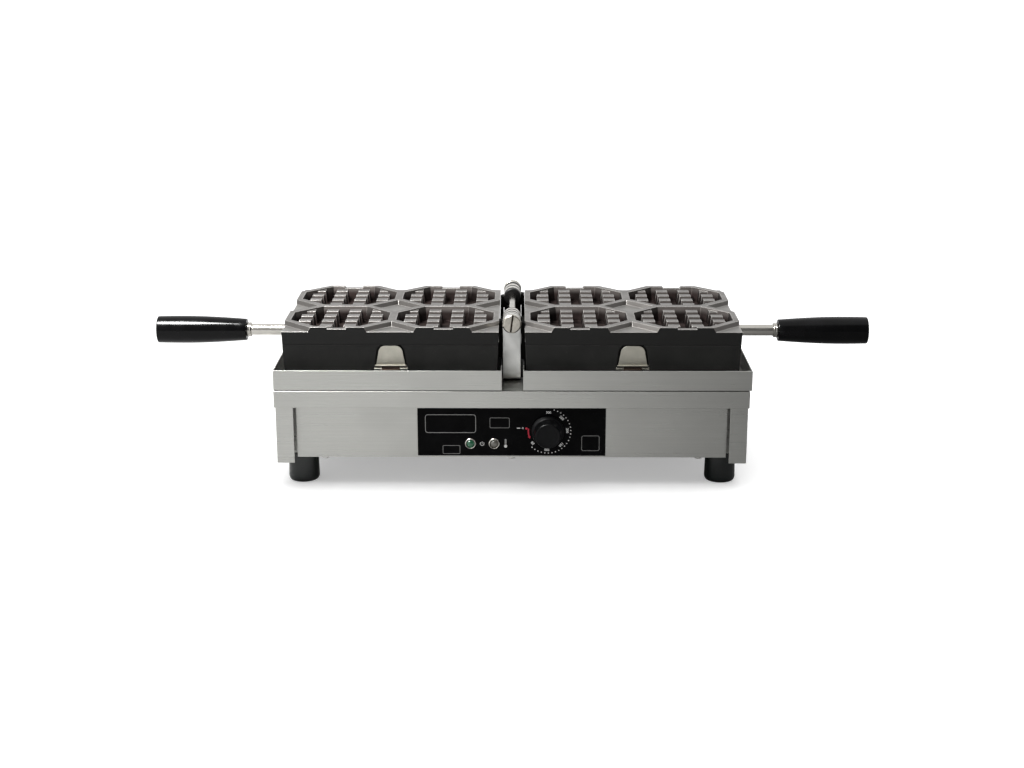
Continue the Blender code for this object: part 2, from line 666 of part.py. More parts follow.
def build_plate(side, sign, material, pivot):
    """Cast waffle plate: octagonal cavities with raised rims, each with rows of tapered lugs."""
    mesh = bmesh.new()
    add_prism(mesh, "Z", PLATE_BOTTOM, RIM_TOP, block_outline(sign, PLATE_BOTTOM),
              block_outline(sign, RIM_TOP))
    plate = add_object(f"{side}_waffle_plate", mesh, material, pivot)

    mesh = bmesh.new()
    add_low_flats(mesh, sign)
    combine(plate, mesh, "DIFFERENCE", "low_flats")

    mesh = bmesh.new()
    top = RIM_TOP + 0.001
    for centre in cavity_centres(sign):
        outlines = []
        for z in (CAVITY_FLOOR, top):
            inset = WALL_SLOPE * (RIM_TOP - z)
            outlines.append(octagon(centre, CAVITY_HALF_X - inset, CAVITY_HALF_Y - inset,
                                    CAVITY_CHAMFER - 0.586 * inset))
        add_prism(mesh, "Z", CAVITY_FLOOR, top, *outlines)
    combine(plate, mesh, "DIFFERENCE", "cavities")

    mesh = bmesh.new()
    for x, y in cavity_centres(sign):
        outer = BLOCK_FRONT if y < (BLOCK_FRONT + BLOCK_BACK) / 2 else BLOCK_BACK
        inner = y + math.copysign(CAVITY_HALF_Y - 0.001, outer - y)
        span = sorted((outer + math.copysign(0.002, outer - y), inner))
        add_box(mesh, (x - NOTCH_WIDTH / 2, x + NOTCH_WIDTH / 2), span, (RIM_TOP - NOTCH_DEPTH, top))
    combine(plate, mesh, "DIFFERENCE", "notches")

    mesh = bmesh.new()
    wall_sum = CAVITY_HALF_X + CAVITY_HALF_Y - CAVITY_CHAMFER
    root = CAVITY_FLOOR - 0.0005
    for centre in cavity_centres(sign):
        for column in (-1.5, -0.5, 0.5, 1.5):
            for row in (-1.5, -0.5, 0.5, 1.5):
                base = lug_outline(centre, column, row, LUG_BASE_HALF, wall_sum - 0.0012)
                crown = lug_outline(centre, column, row, LUG_TOP_HALF, wall_sum + 0.0002)
                add_prism(mesh, "Z", root, LUG_TOP, base, crown)
    combine(plate, mesh, "UNION", "lugs")


def tab_outline(centre_x, grow, bottom):
    """Round-topped tapering outline of the lock tab, or of its recess when grown."""
    shoulder_z = HINGE_Z - 0.0285
    half_bottom = 0.0155 + grow
    half_shoulder = 0.0129 + grow
    flat = 0.0055
    radii = (half_shoulder - flat, TAB_TOP + grow - shoulder_z)
    right = arc((flat, shoulder_z), radii, 0.0, 90.0, 6)
    points = [(half_bottom, bottom), *right]
    return [(centre_x + x, z) for x, z in points] + [(centre_x - x, z) for x, z in reversed(points)]


def build_housing(side, sign, material, pivot):
    """Cast box under the waffle plate, which holds the heating element and its insulation."""
    top = PLATE_BOTTOM - GAP
    mesh = bmesh.new()
    add_prism(mesh, "Z", BLOCK_BOTTOM, top, block_outline(sign, BLOCK_BOTTOM), block_outline(sign, top))
    housing = add_object(f"{side}_block_housing", mesh, material, pivot)

    mesh = bmesh.new()
    span = sorted((sign * (BLOCK_INNER + 0.0065), sign * (BLOCK_OUTER - 0.0065)))
    add_box(mesh, span, (BLOCK_FRONT + 0.0075, BLOCK_BACK - 0.005), (BLOCK_BOTTOM + 0.004, top + 0.01))
    combine(housing, mesh, "DIFFERENCE", "hollow")

    mesh = bmesh.new()
    add_prism(mesh, "Y", BLOCK_FRONT - 0.002, BLOCK_FRONT + RECESS_DEPTH,
              tab_outline(sign * TAB_X, RECESS_MARGIN, BLOCK_BOTTOM - 0.002))
    combine(housing, mesh, "DIFFERENCE", "tab_recess")

    mesh = bmesh.new()
    reach = TAB_PIN_HALF + GAP
    add_rod(mesh, "X", (TAB_PIN_Y, TAB_PIN_Z), TAB_PIN_RADIUS + GAP,
            sign * TAB_X - reach, sign * TAB_X + reach, 12)
    ends = sorted((sign * (BLOCK_OUTER - 0.012), sign * (BLOCK_OUTER + 0.002)))
    add_rod(mesh, "X", (HANDLE_Y, HANDLE_Z), ROD_RADIUS + GAP, *ends)
    ends = sorted((sign * (BLOCK_INNER - 0.002), sign * (BLOCK_INNER + 0.012)))
    add_rod(mesh, "X", (0.066, HINGE_Z - 0.034), 0.0035, *ends, 12)
    combine(housing, mesh, "DIFFERENCE", "bores")


def build_heater(side, sign, materials, pivot):
    """Tubular heating element in three hairpin bends under the plate, over an insulating pad."""
    start, end = BLOCK_INNER + 0.022, ROD_START - 0.005
    z = PLATE_BOTTOM - 0.0046
    rows = [0.068, 0.036, 0.004, -0.028, -0.060, -0.088]
    points = [(start, rows[0])]
    for i, (y, following) in enumerate(zip(rows, rows[1:])):
        radius = (y - following) / 2
        middle = y - radius
        if i % 2 == 0:
            points += arc((end - radius, middle), (radius, radius), 90.0, -90.0, 6)
        else:
            points += arc((start + radius, middle), (radius, radius), 90.0, 270.0, 6)
    points.append((start, rows[-1]))
    add_tube(f"{side}_heating_element", [(sign * x, y, z) for x, y in points], 0.0040,
             materials["heater_sheath"], pivot)

    mesh = bmesh.new()
    span = sorted((sign * (BLOCK_INNER + 0.009), sign * (ROD_START - 0.002)))
    add_box(mesh, span, (BLOCK_FRONT + 0.010, BLOCK_BACK - 0.008), (BLOCK_BOTTOM + 0.005, z - 0.0055))
    add_object(f"{side}_insulation_pad", mesh, materials["mineral_wool"], pivot)


def build_lock_tab(side, sign, steel, block_pivot, tab_pivot):
    """Sprung steel tab that hooks the waffle plate into its housing, and its pivot pin."""
    centre = sign * TAB_X
    ledge = TAB_PIN_Z + 0.0024
    mesh = bmesh.new()
    add_prism(mesh, "Y", TAB_FACE_Y, TAB_FACE_Y + TAB_SHEET, tab_outline(centre, 0.0, ledge + 0.0003))
    tab = add_object(f"{side}_lock_tab", mesh, steel, tab_pivot)
    mesh = bmesh.new()
    add_box(mesh, (centre - 0.0165, centre + 0.0165), (TAB_FACE_Y - 0.0014, TAB_FACE_Y + TAB_SHEET + 0.0002),
            (ledge, ledge + 0.0010))
    combine(tab, mesh, "UNION", "ledge")
    mesh = bmesh.new()
    add_rod(mesh, "X", (TAB_PIN_Y, TAB_PIN_Z), 0.0026, centre - 0.0095, centre + 0.0095)
    combine(tab, mesh, "UNION", "barrel")
    mesh = bmesh.new()
    add_rod(mesh, "X", (TAB_PIN_Y, TAB_PIN_Z), TAB_PIN_RADIUS + GAP, centre - 0.02, centre + 0.02)
    combine(tab, mesh, "DIFFERENCE", "bore")

    mesh = bmesh.new()
    add_rod(mesh, "X", (TAB_PIN_Y, TAB_PIN_Z), TAB_PIN_RADIUS, centre - TAB_PIN_HALF,
            centre + TAB_PIN_HALF, 12)
    add_object(f"{side}_lock_pin", mesh, steel, block_pivot, smooth=True)


def build_handle(side, sign, materials, pivot):
    """Steel rod screwed into the housing, with a collar and a tapered grip."""
    centre = (HANDLE_Y, HANDLE_Z)
    mesh = bmesh.new()
    rod_end = GRIP[0] + GRIP_BORE_DEPTH - 2 * GAP
    add_rod(mesh, "X", centre, ROD_RADIUS, *sorted((sign * ROD_START, sign * rod_end)), 24)
    add_object(f"{side}_handle_rod", mesh, materials["polished_steel"], pivot, smooth=True)

    bore = ROD_RADIUS + GAP
    collar = [(bore, COLLAR[0]), (COLLAR_RADIUS, COLLAR[0]), (COLLAR_RADIUS, COLLAR[1]), (bore, COLLAR[1])]
    mesh = bmesh.new()
    add_turned(mesh, "X", centre, [(r, sign * x) for r, x in collar], 24, ring=True)
    add_object(f"{side}_handle_collar", mesh, materials["polished_steel"], pivot, smooth=True)

    inner, outer = GRIP_RADIUS
    bore_end = GRIP[0] + GRIP_BORE_DEPTH
    grip = [(0.0, bore_end), (bore, bore_end), (bore, GRIP[0]), (inner - 0.0010, GRIP[0]),
            (inner, GRIP[0] + 0.0012), (outer, GRIP[1] - 0.0028), (outer - 0.0006, GRIP[1] - 0.0012),
            (outer - 0.0024, GRIP[1]), (0.0, GRIP[1])]
    mesh = bmesh.new()
    add_turned(mesh, "X", centre, [(r, sign * x) for r, x in grip], ROUND)
    add_object(f"{side}_handle_grip", mesh, materials["phenolic"], pivot, smooth=True)


# ---------------------------------------------------------------- centre hinge

def build_knuckle(name, sign, rings, material, pivot):
    """Hinge knuckle: a plate on the block's inner side with one or more ears round the axle."""
    ear_reach = 0.0115
    side_face = BLOCK_INNER - GAP
    ear = [(ear_reach, -0.0005), *arc((0.0, 0.0), (RING_RADIUS, RING_RADIUS), -3.0, 270.0, 26),
           (ear_reach, -0.0140)]
    inner_face = RING_RADIUS + 0.0004
    bottom = TRAY_TOP + 0.0010 - HINGE_Z
    foot = [(inner_face, -0.0010), (side_face, -0.0010), (side_face + 0.0011, bottom), (inner_face, bottom)]
    span = (rings[0][0], rings[-1][1])
    mesh = bmesh.new()
    add_prism(mesh, "Y", *span, [(sign * x, HINGE_Z + z) for x, z in foot])
    knuckle = add_object(name, mesh, material, pivot, smooth=True)
    mesh = bmesh.new()
    for low, high in rings:
        inset = 0.0 if len(rings) > 1 else 0.0004
        add_prism(mesh, "Y", low + inset, high - inset, [(sign * x, HINGE_Z + z) for x, z in ear])
    combine(knuckle, mesh, "UNION", "ears")
    mesh = bmesh.new()
    add_rod(mesh, "Y", (0.0, HINGE_Z), BORE_RADIUS, span[0] - 0.01, span[1] + 0.01)
    combine(knuckle, mesh, "DIFFERENCE", "bore")


def add_tombstone(mesh, y_range, bottom):
    """Round-topped outline about the hinge axis, as wide as the uprights."""
    width = STRAP_HALF_WIDTH
    outline = [(width, bottom), *arc((0.0, HINGE_Z), (width, width), 0.0, 180.0, 20), (-width, bottom)]
    add_prism(mesh, "Y", *y_range, outline)


def build_uprights(steel):
    """Front strap bent into a foot, and the rear column that also leads the wires up."""
    rest = DECK_TOP + GAP
    outside, thickness = 0.0085, FRONT_STRAP[1] - FRONT_STRAP[0]
    inside = outside - thickness
    front = FRONT_STRAP[0]
    bend = (front + outside, rest + outside)
    profile = [(front, HINGE_Z + 0.02), *arc(bend, (outside, outside), 180.0, 270.0, 8), (-0.050, rest),
               (-0.050, rest + thickness), *arc(bend, (inside, inside), 270.0, 180.0, 8),
               (FRONT_STRAP[1], HINGE_Z + 0.02)]
    mesh = bmesh.new()
    add_prism(mesh, "X", -0.015, 0.015, profile)
    strap = add_object("front_upright", mesh, steel, smooth=True)
    mesh = bmesh.new()
    add_tombstone(mesh, (front - 0.005, -0.040), rest - 0.005)
    combine(strap, mesh, "INTERSECT", "outline")
    mesh = bmesh.new()
    add_rod(mesh, "Y", (0.0, HINGE_Z), BORE_RADIUS, front - 0.01, front + 0.01)
    combine(strap, mesh, "DIFFERENCE", "bore")

    mesh = bmesh.new()
    add_tombstone(mesh, REAR_COLUMN, rest)
    column = add_object("rear_upright", mesh, steel, smooth=True)
    mesh = bmesh.new()
    half = STRAP_HALF_WIDTH - 0.0004
    add_box(mesh, (-half, half), (REAR_COLUMN[0] - 0.016, REAR_COLUMN[1] + 0.020),
            (rest + 0.00001, rest + 0.003))
    combine(column, mesh, "UNION", "foot")
    middle = sum(REAR_COLUMN) / 2
    mesh = bmesh.new()
    add_box(mesh, (-DUCT_HALF[0], DUCT_HALF[0]), (middle - DUCT_HALF[1], middle + DUCT_HALF[1]),
            (rest - REACH, HINGE_Z - 0.016))
    combine(column, mesh, "DIFFERENCE", "duct")
    mesh = bmesh.new()
    add_rod(mesh, "Y", (0.0, HINGE_Z), BORE_RADIUS, REAR_COLUMN[0] - 0.005, REAR_COLUMN[1] + 0.005)
    combine(column, mesh, "DIFFERENCE", "bore")


def build_axle(materials):
    """Fixed axle between the uprights, a slotted nut on each end, and a black spacer bush."""
    mesh = bmesh.new()
    add_rod(mesh, "Y", (0.0, HINGE_Z), AXLE_RADIUS, FRONT_STRAP[0], REAR_COLUMN[1], 24)
    add_object("hinge_axle", mesh, materials["polished_steel"], smooth=True)

    bevel = 0.0012
    nuts = (("front_pivot_nut", FRONT_HEAD, -1.0), ("rear_pivot_nut", REAR_HEAD, 1.0))
    for name, (low, high), outward in nuts:
        profile = [(0.0, low), (HEAD_RADIUS - bevel, low), (HEAD_RADIUS, low + bevel),
                   (HEAD_RADIUS, high - bevel), (HEAD_RADIUS - bevel, high), (0.0, high)]
        mesh = bmesh.new()
        add_turned(mesh, "Y", (0.0, HINGE_Z), profile, ROUND)
        nut = add_object(name, mesh, materials["nickel"], smooth=True)
        face = low if outward < 0 else high
        slot = sorted((face + outward * 0.002, face - outward * 0.0022))
        lean = 0.0016
        mesh = bmesh.new()
        outline = [(-0.0009 - lean, HINGE_Z - 0.012), (0.0009 - lean, HINGE_Z - 0.012),
                   (0.0009 + lean, HINGE_Z + 0.012), (-0.0009 + lean, HINGE_Z + 0.012)]
        add_prism(mesh, "Y", *slot, outline)
        combine(nut, mesh, "DIFFERENCE", "slot")

    mesh = bmesh.new()
    low, high = REAR_BUSH
    profile = [(BORE_RADIUS, low), (RING_RADIUS - 0.0004, low), (RING_RADIUS, low + 0.0006),
               (RING_RADIUS, high), (BORE_RADIUS, high)]
    add_turned(mesh, "Y", (0.0, HINGE_Z), profile, ROUND, ring=True)
    add_object("spacer_bush", mesh, materials["black_oxide"], smooth=True)


# ---------------------------------------------------------------- assembly

def build_blocks(materials):
    hinge = (0.0, 0.0, HINGE_Z)
    for side, sign in SIDES.items():
        block = empty_at(f"{side}_block_pivot", hinge)
        tab = empty_at(f"{side}_lock_pivot", (sign * TAB_X, TAB_PIN_Y, TAB_PIN_Z))
        build_plate(side, sign, materials["plate_iron"], block)
        build_housing(side, sign, materials["casting"], block)
        build_heater(side, sign, materials, block)
        build_lock_tab(side, sign, materials["nickel"], block, tab)
        build_handle(side, sign, materials, block)
        rings = {"left": ([FRONT_TONGUE], [REAR_LEFT_RING]),
                 "right": ([FRONT_FORK_A, FRONT_FORK_B], [REAR_RIGHT_RING])}[side]
        build_knuckle(f"{side}_front_knuckle", sign, rings[0], materials["nickel"], block)
        build_knuckle(f"{side}_rear_knuckle", sign, rings[1], materials["nickel"], block)


def main():
    clear_scene()
    materials = make_materials()
    steel = materials["steel"]
    build_deck(steel)
    build_side_panels(steel)
    build_front_panel(steel)
    build_rear_panel(steel)
    build_base_plate(steel)
    build_feet(materials["foot_plastic"])
    build_panel_screws(materials["polished_steel"])
    build_label(materials["label"])
    build_thermostat(materials, empty_at("knob_pivot", (DIAL_X, KNOB_FRONT_Y, DIAL_Z)))
    build_lamps(materials)
    build_electrics(materials)
    tray_pivots = {side: empty_at(f"{side}_tray_pivot", (sign * TAB_X, -BODY_HALF_DEPTH, DECK_TOP))
                   for side, sign in SIDES.items()}
    build_trays(steel, tray_pivots)
    build_uprights(steel)
    build_axle(materials)
    build_blocks(materials)


main()
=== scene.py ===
import json
import math

import bmesh
import bpy
from mathutils import Matrix, Vector


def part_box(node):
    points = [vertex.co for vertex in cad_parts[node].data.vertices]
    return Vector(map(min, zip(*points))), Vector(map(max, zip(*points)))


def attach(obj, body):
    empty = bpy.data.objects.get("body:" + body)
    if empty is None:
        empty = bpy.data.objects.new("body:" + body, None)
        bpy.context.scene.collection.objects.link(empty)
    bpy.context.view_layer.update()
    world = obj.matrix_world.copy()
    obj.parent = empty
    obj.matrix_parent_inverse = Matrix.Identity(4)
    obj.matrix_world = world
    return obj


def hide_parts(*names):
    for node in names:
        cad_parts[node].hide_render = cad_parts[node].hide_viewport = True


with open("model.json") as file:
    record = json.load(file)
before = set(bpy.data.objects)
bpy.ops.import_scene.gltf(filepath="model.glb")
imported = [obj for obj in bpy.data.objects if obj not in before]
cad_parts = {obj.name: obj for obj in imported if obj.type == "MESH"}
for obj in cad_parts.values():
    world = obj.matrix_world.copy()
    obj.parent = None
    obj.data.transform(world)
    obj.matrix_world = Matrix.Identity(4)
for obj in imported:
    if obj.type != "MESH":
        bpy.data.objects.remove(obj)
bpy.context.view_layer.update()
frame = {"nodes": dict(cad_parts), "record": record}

# ---------------------------------------------------------------- dimensions, in metres

MM = 0.001
HINGE_Z = frame["record"]["behaviour"]["joints"][0]["pos_m"][2]
SIDES = {"left": -1.0, "right": 1.0}

CAMERA_AT = (0.0103, -1.7889, 0.5922)
CAMERA_TURN = (math.radians(90.0 - 16.0), 0.0, math.radians(0.34))
CAMERA_LENS = 58.0           # mm, on a 36 mm wide sensor

FLOOR_LEFT = 0.74            # grey that the floor shows the object, to the left
FLOOR_RIGHT = 0.18           # and to the right
SHADOW_LIFT = 0.36           # how much the shadows on the floor are lifted
ROOM_OPEN = 1.15             # brightness of the studio above and behind the object
ROOM_LEFT = 0.80             # and in front of it, to the left
ROOM_RIGHT = 0.125           # and to the right

FINE = 96                    # segments of the round pieces
PRINT_HEIGHT = 0.12 * MM     # how far the printing stands proud of the label
SHARP = math.radians(35.0)


# ---------------------------------------------------------------- camera, floor and light

def make_camera():
    data = bpy.data.cameras.new("camera")
    data.lens = CAMERA_LENS
    data.sensor_width = 36.0
    camera = bpy.data.objects.new("camera", data)
    camera.location = CAMERA_AT
    camera.rotation_euler = CAMERA_TURN
    bpy.context.scene.collection.objects.link(camera)
    bpy.context.scene.camera = camera


def ramp(tree, value, low, high, to_low, to_high):
    """Smooth step from one value to another, as a node."""
    node = tree.nodes.new("ShaderNodeMapRange")
    node.interpolation_type = "SMOOTHSTEP"
    tree.links.new(value, node.inputs["Value"])
    for name, amount in (("From Min", low), ("From Max", high), ("To Min", to_low), ("To Max", to_high)):
        node.inputs[name].default_value = amount
    return node.outputs[0]


def studio_paper():
    """White floor with soft shadows; what it casts onto the object is greyer, most of all to the right."""
    paper = bpy.data.materials.new("studio_paper")
    paper.use_nodes = True
    tree = paper.node_tree
    tree.nodes.clear()
    surface = tree.nodes.new("ShaderNodeNewGeometry")
    parts = tree.nodes.new("ShaderNodeSeparateXYZ")
    tree.links.new(surface.outputs["Position"], parts.inputs[0])
    bounce = tree.nodes.new("ShaderNodeBsdfDiffuse")
    grey = ramp(tree, parts.outputs["X"], -0.20, 0.42, FLOOR_LEFT, FLOOR_RIGHT)
    tree.links.new(grey, bounce.inputs["Color"])
    seen = tree.nodes.new("ShaderNodeBsdfDiffuse")
    seen.inputs["Color"].default_value = (0.80, 0.80, 0.80, 1.0)
    lift = tree.nodes.new("ShaderNodeEmission")
    lift.inputs["Strength"].default_value = SHADOW_LIFT
    lifted = tree.nodes.new("ShaderNodeAddShader")
    tree.links.new(seen.outputs[0], lifted.inputs[0])
    tree.links.new(lift.outputs[0], lifted.inputs[1])
    ray = tree.nodes.new("ShaderNodeLightPath")
    choice = tree.nodes.new("ShaderNodeMixShader")
    tree.links.new(ray.outputs["Is Camera Ray"], choice.inputs["Fac"])
    tree.links.new(bounce.outputs[0], choice.inputs[1])
    tree.links.new(lifted.outputs[0], choice.inputs[2])
    output = tree.nodes.new("ShaderNodeOutputMaterial")
    tree.links.new(choice.outputs[0], output.inputs["Surface"])
    return paper


def make_stage():
    half = 60.0
    mesh = bmesh.new()
    corners = ((-half, -half), (half, -half), (half, half), (-half, half))
    mesh.faces.new([mesh.verts.new((x, y, 0.0)) for x, y in corners])
    data = bpy.data.meshes.new("floor")
    mesh.to_mesh(data)
    mesh.free()
    data.materials.append(studio_paper())
    floor = bpy.data.objects.new("floor", data)
    bpy.context.scene.collection.objects.link(floor)


def area_light(name, position, target, size, watts):
    data = bpy.data.lights.new(name, "AREA")
    data.shape = "RECTANGLE"
    data.size, data.size_y = size
    data.energy = watts
    light = bpy.data.objects.new(name, data)
    light.location = position
    direction = Vector(target) - Vector(position)
    light.rotation_euler = direction.to_track_quat("-Z", "Y").to_euler()
    bpy.context.scene.collection.objects.link(light)
    return light


def make_world():
    """White studio whose front side is dark between the floor and the ceiling, most of all to the right."""
    world = bpy.data.worlds.new("studio")
    world.use_nodes = True
    bpy.context.scene.world = world
    tree = world.node_tree
    tree.nodes.clear()
    direction = tree.nodes.new("ShaderNodeTexCoord")
    parts = tree.nodes.new("ShaderNodeSeparateXYZ")
    tree.links.new(direction.outputs["Generated"], parts.inputs[0])
    dimmed = ramp(tree, parts.outputs["X"], -0.50, 0.30, ROOM_LEFT, ROOM_RIGHT)
    behind = ramp(tree, parts.outputs["Y"], -0.45, 0.05, 0.0, 1.0)
    overhead = ramp(tree, parts.outputs["Z"], 0.78, 0.92, 0.0, 1.0)
    open_side = tree.nodes.new("ShaderNodeMath")
    open_side.operation = "MAXIMUM"
    tree.links.new(behind, open_side.inputs[0])
    tree.links.new(overhead, open_side.inputs[1])
    strength = tree.nodes.new("ShaderNodeMix")
    tree.links.new(open_side.outputs[0], strength.inputs["Factor"])
    tree.links.new(dimmed, strength.inputs["A"])
    strength.inputs["B"].default_value = ROOM_OPEN
    room = tree.nodes.new("ShaderNodeBackground")
    tree.links.new(strength.outputs["Result"], room.inputs["Strength"])
    backdrop = tree.nodes.new("ShaderNodeBackground")
    backdrop.inputs["Color"].default_value = (1.0, 1.0, 1.0, 1.0)
    ray = tree.nodes.new("ShaderNodeLightPath")
    choice = tree.nodes.new("ShaderNodeMixShader")
    tree.links.new(ray.outputs["Is Camera Ray"], choice.inputs["Fac"])
    tree.links.new(room.outputs[0], choice.inputs[1])
    tree.links.new(backdrop.outputs[0], choice.inputs[2])
    output = tree.nodes.new("ShaderNodeOutputWorld")
    tree.links.new(choice.outputs[0], output.inputs["Surface"])


def make_lights():
    bpy.context.scene.view_settings.view_transform = "Standard"
    data = bpy.data.lights.new("overhead_diffuser", "SUN")
    data.energy = 2.3
    data.angle = math.radians(75.0)
    sun = bpy.data.objects.new("overhead_diffuser", data)
    sun.rotation_euler = (math.radians(-6.0), math.radians(-6.0), 0.0)
    sun.visible_glossy = False
    bpy.context.scene.collection.objects.link(sun)
    side = area_light("left_softbox", (-1.6, -1.2, 0.9), (-0.1, 0.0, 0.10), (0.9, 1.0), 9.0)
    side.visible_diffuse = False
    streak = area_light("left_streak", (-0.64, -0.44, 1.30), (-0.36, -0.06, 0.15), (0.44, 0.40), 70.0)
    streak.visible_diffuse = False


# ---------------------------------------------------------------- materials

# Matt near-black painted shade for what lies in the dark gap between the blocks.
PAINTED_SHADE_BLACK = (0.0045, 0.0042, 0.0040)


class Finish:
    """A node material being drawn up: each method adds one node and returns its output."""

    def __init__(self, name, roughness, metallic=0.0, specular=0.5):
        self.material = bpy.data.materials.new(name)
        self.material.use_nodes = True
        tree = self.material.node_tree
        self.nodes, self.links = tree.nodes, tree.links
        self.shader = tree.nodes["Principled BSDF"]
        self.shader.inputs["Roughness"].default_value = roughness
        self.shader.inputs["Metallic"].default_value = metallic
        self.shader.inputs["Specular IOR Level"].default_value = specular
        self.place = self.add("ShaderNodeTexCoord")

    def add(self, kind, **settings):
        node = self.nodes.new(kind)
        for key, value in settings.items():
            setattr(node, key, value)
        return node

    def connect(self, value, socket):
        if hasattr(value, "is_linked"):
            self.links.new(value, socket)
        elif isinstance(value, tuple) and len(value) == 3 and len(socket.default_value) == 4:
            socket.default_value = (*value, 1.0)
        else:
            socket.default_value = value

    def noise(self, scale, detail=3.0, roughness=0.55):
        """Value noise with its own frequency along each axis, in features per metre."""
        stretch = self.add("ShaderNodeMapping")
        stretch.inputs["Scale"].default_value = scale if isinstance(scale, tuple) else (scale, scale, scale)
        self.links.new(self.place.outputs["Object"], stretch.inputs["Vector"])
        texture = self.add("ShaderNodeTexNoise")
        texture.inputs["Scale"].default_value = 1.0
        texture.inputs["Detail"].default_value = detail
        texture.inputs["Roughness"].default_value = roughness
        self.links.new(stretch.outputs["Vector"], texture.inputs["Vector"])
        return texture.outputs["Fac"]

    def cells(self, scale):
        stretch = self.add("ShaderNodeMapping")
        stretch.inputs["Scale"].default_value = (scale, scale, scale)
        self.links.new(self.place.outputs["Object"], stretch.inputs["Vector"])
        texture = self.add("ShaderNodeTexVoronoi")
        texture.inputs["Scale"].default_value = 1.0
        self.links.new(stretch.outputs["Vector"], texture.inputs["Vector"])
        return texture.outputs["Distance"]

    def coordinate(self, axis, source="Object"):
        parts = self.add("ShaderNodeSeparateXYZ")
        self.links.new(self.place.outputs[source], parts.inputs[0])
        return parts.outputs[axis]

    def maths(self, operation, a, b=0.0):
        node = self.add("ShaderNodeMath", operation=operation)
        self.connect(a, node.inputs[0])
        self.connect(b, node.inputs[1])
        return node.outputs[0]

    def remap(self, value, low, high, to_low=0.0, to_high=1.0, smooth=False):
        node = self.add("ShaderNodeMapRange", interpolation_type="SMOOTHSTEP" if smooth else "LINEAR")
        for name, amount in (("Value", value), ("From Min", low), ("From Max", high),
                             ("To Min", to_low), ("To Max", to_high)):
            self.connect(amount, node.inputs[name])
        return node.outputs[0]

    def mix(self, factor, a, b):
        node = self.add("ShaderNodeMix", data_type="RGBA")
        for socket, value in ((node.inputs[0], factor), (node.inputs[6], a), (node.inputs[7], b)):
            self.connect(value, socket)
        return node.outputs[2]

    def mix_value(self, factor, a, b):
        node = self.add("ShaderNodeMix", data_type="FLOAT")
        for socket, value in ((node.inputs[0], factor), (node.inputs[2], a), (node.inputs[3], b)):
            self.connect(value, socket)
        return node.outputs[0]

    def edges(self, radius):
        """1 along corners sharper than the radius, 0 on open faces."""
        rounded = self.add("ShaderNodeBevel", samples=4)
        rounded.inputs["Radius"].default_value = radius
        surface = self.add("ShaderNodeNewGeometry")
        dot = self.add("ShaderNodeVectorMath", operation="DOT_PRODUCT")
        self.links.new(rounded.outputs["Normal"], dot.inputs[0])
        self.links.new(surface.outputs["Normal"], dot.inputs[1])
        return self.remap(dot.outputs["Value"], 0.985, 0.90)

    def hinge_radius(self):
        """Distance from the hinge axis."""
        x = self.coordinate("X")
        z = self.maths("SUBTRACT", self.coordinate("Z"), HINGE_Z)
        squares = self.maths("ADD", self.maths("MULTIPLY", x, x), self.maths("MULTIPLY", z, z))
        return self.maths("SQRT", squares)

    def shade_between_blocks(self, front):
        """1 on what lies between the two blocks behind a depth, the mask of the painted shade in that gap."""
        depth = self.coordinate("Y")
        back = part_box("rear_pivot_nut")[0].y
        sideways = self.maths("ABSOLUTE", self.coordinate("X"))
        near = self.remap(sideways, 26.0 * MM, 18.0 * MM)
        within = self.maths("MULTIPLY", self.remap(depth, front, front + 3.0 * MM),
                            self.remap(depth, back, back - 3.0 * MM))
        return self.maths("MULTIPLY", near, within)

    def metal(self, colour, rough, shade_front):
        """Unpainted metal, with matt black painted shade between the blocks behind a depth, if one is given.
        """
        if shade_front is None:
            self.colour(colour)
            self.roughness(rough)
            return
        shade_mask = self.shade_between_blocks(shade_front)
        self.colour(self.mix(shade_mask, colour, PAINTED_SHADE_BLACK))
        self.connect(self.remap(shade_mask, 0.0, 1.0, 1.0, 0.0), self.shader.inputs["Metallic"])
        self.roughness(self.mix_value(shade_mask, rough, 0.9))

    def bump(self, height, distance, strength=1.0):
        node = self.add("ShaderNodeBump")
        node.inputs["Distance"].default_value = distance
        node.inputs["Strength"].default_value = strength
        self.links.new(height, node.inputs["Height"])
        self.links.new(node.outputs["Normal"], self.shader.inputs["Normal"])

    def colour(self, value):
        self.connect(value, self.shader.inputs["Base Color"])

    def roughness(self, value):
        self.connect(value, self.shader.inputs["Roughness"])


def brushed_steel(name, colour, roughness, streaks=1.0, shade_front=None):
    """Stainless sheet, brushed level: long fine lines, faint smears and a painted highlight along its edges.
    """
    finish = Finish(name, roughness, metallic=1.0)
    on_walls = finish.noise((5.0, 5.0, 1500.0), detail=4.0)
    on_tops = finish.noise((5.0, 1500.0, 5.0), detail=4.0)
    upward = finish.maths("ABSOLUTE", finish.coordinate("Z", "Normal"))
    lines = finish.mix_value(finish.remap(upward, 0.6, 0.8), on_walls, on_tops)
    smears = finish.noise((14.0, 14.0, 22.0), detail=5.0)
    light = tuple(min(1.0, c * (1.0 + 0.16 * streaks)) for c in colour)
    dark = tuple(c * (1.0 - 0.16 * streaks) for c in colour)
    lined = finish.mix(finish.remap(lines, 0.3, 0.7), dark, light)
    smeared = finish.mix(finish.remap(smears, 0.45, 0.8, 0.0, 0.22), lined, tuple(c * 0.72 for c in colour))
    # Edges lighter: painted highlight.
    clean = finish.mix(finish.maths("MULTIPLY", finish.edges(0.8 * MM), 0.35), smeared,
                       tuple(min(1.0, c * 1.4) for c in colour))
    rough = finish.remap(lines, 0.3, 0.7, roughness - 0.05, roughness + 0.06)
    rough = finish.maths("ADD", rough, finish.remap(smears, 0.4, 0.8, 0.0, 0.07))
    finish.metal(clean, rough, shade_front)
    finish.bump(lines, 0.02 * MM, 0.5 * streaks)
    finish.shader.inputs["Anisotropic"].default_value = 0.55
    tangent = finish.add("ShaderNodeTangent", direction_type="RADIAL", axis="Z")
    finish.links.new(tangent.outputs[0], finish.shader.inputs["Tangent"])
    return finish.material


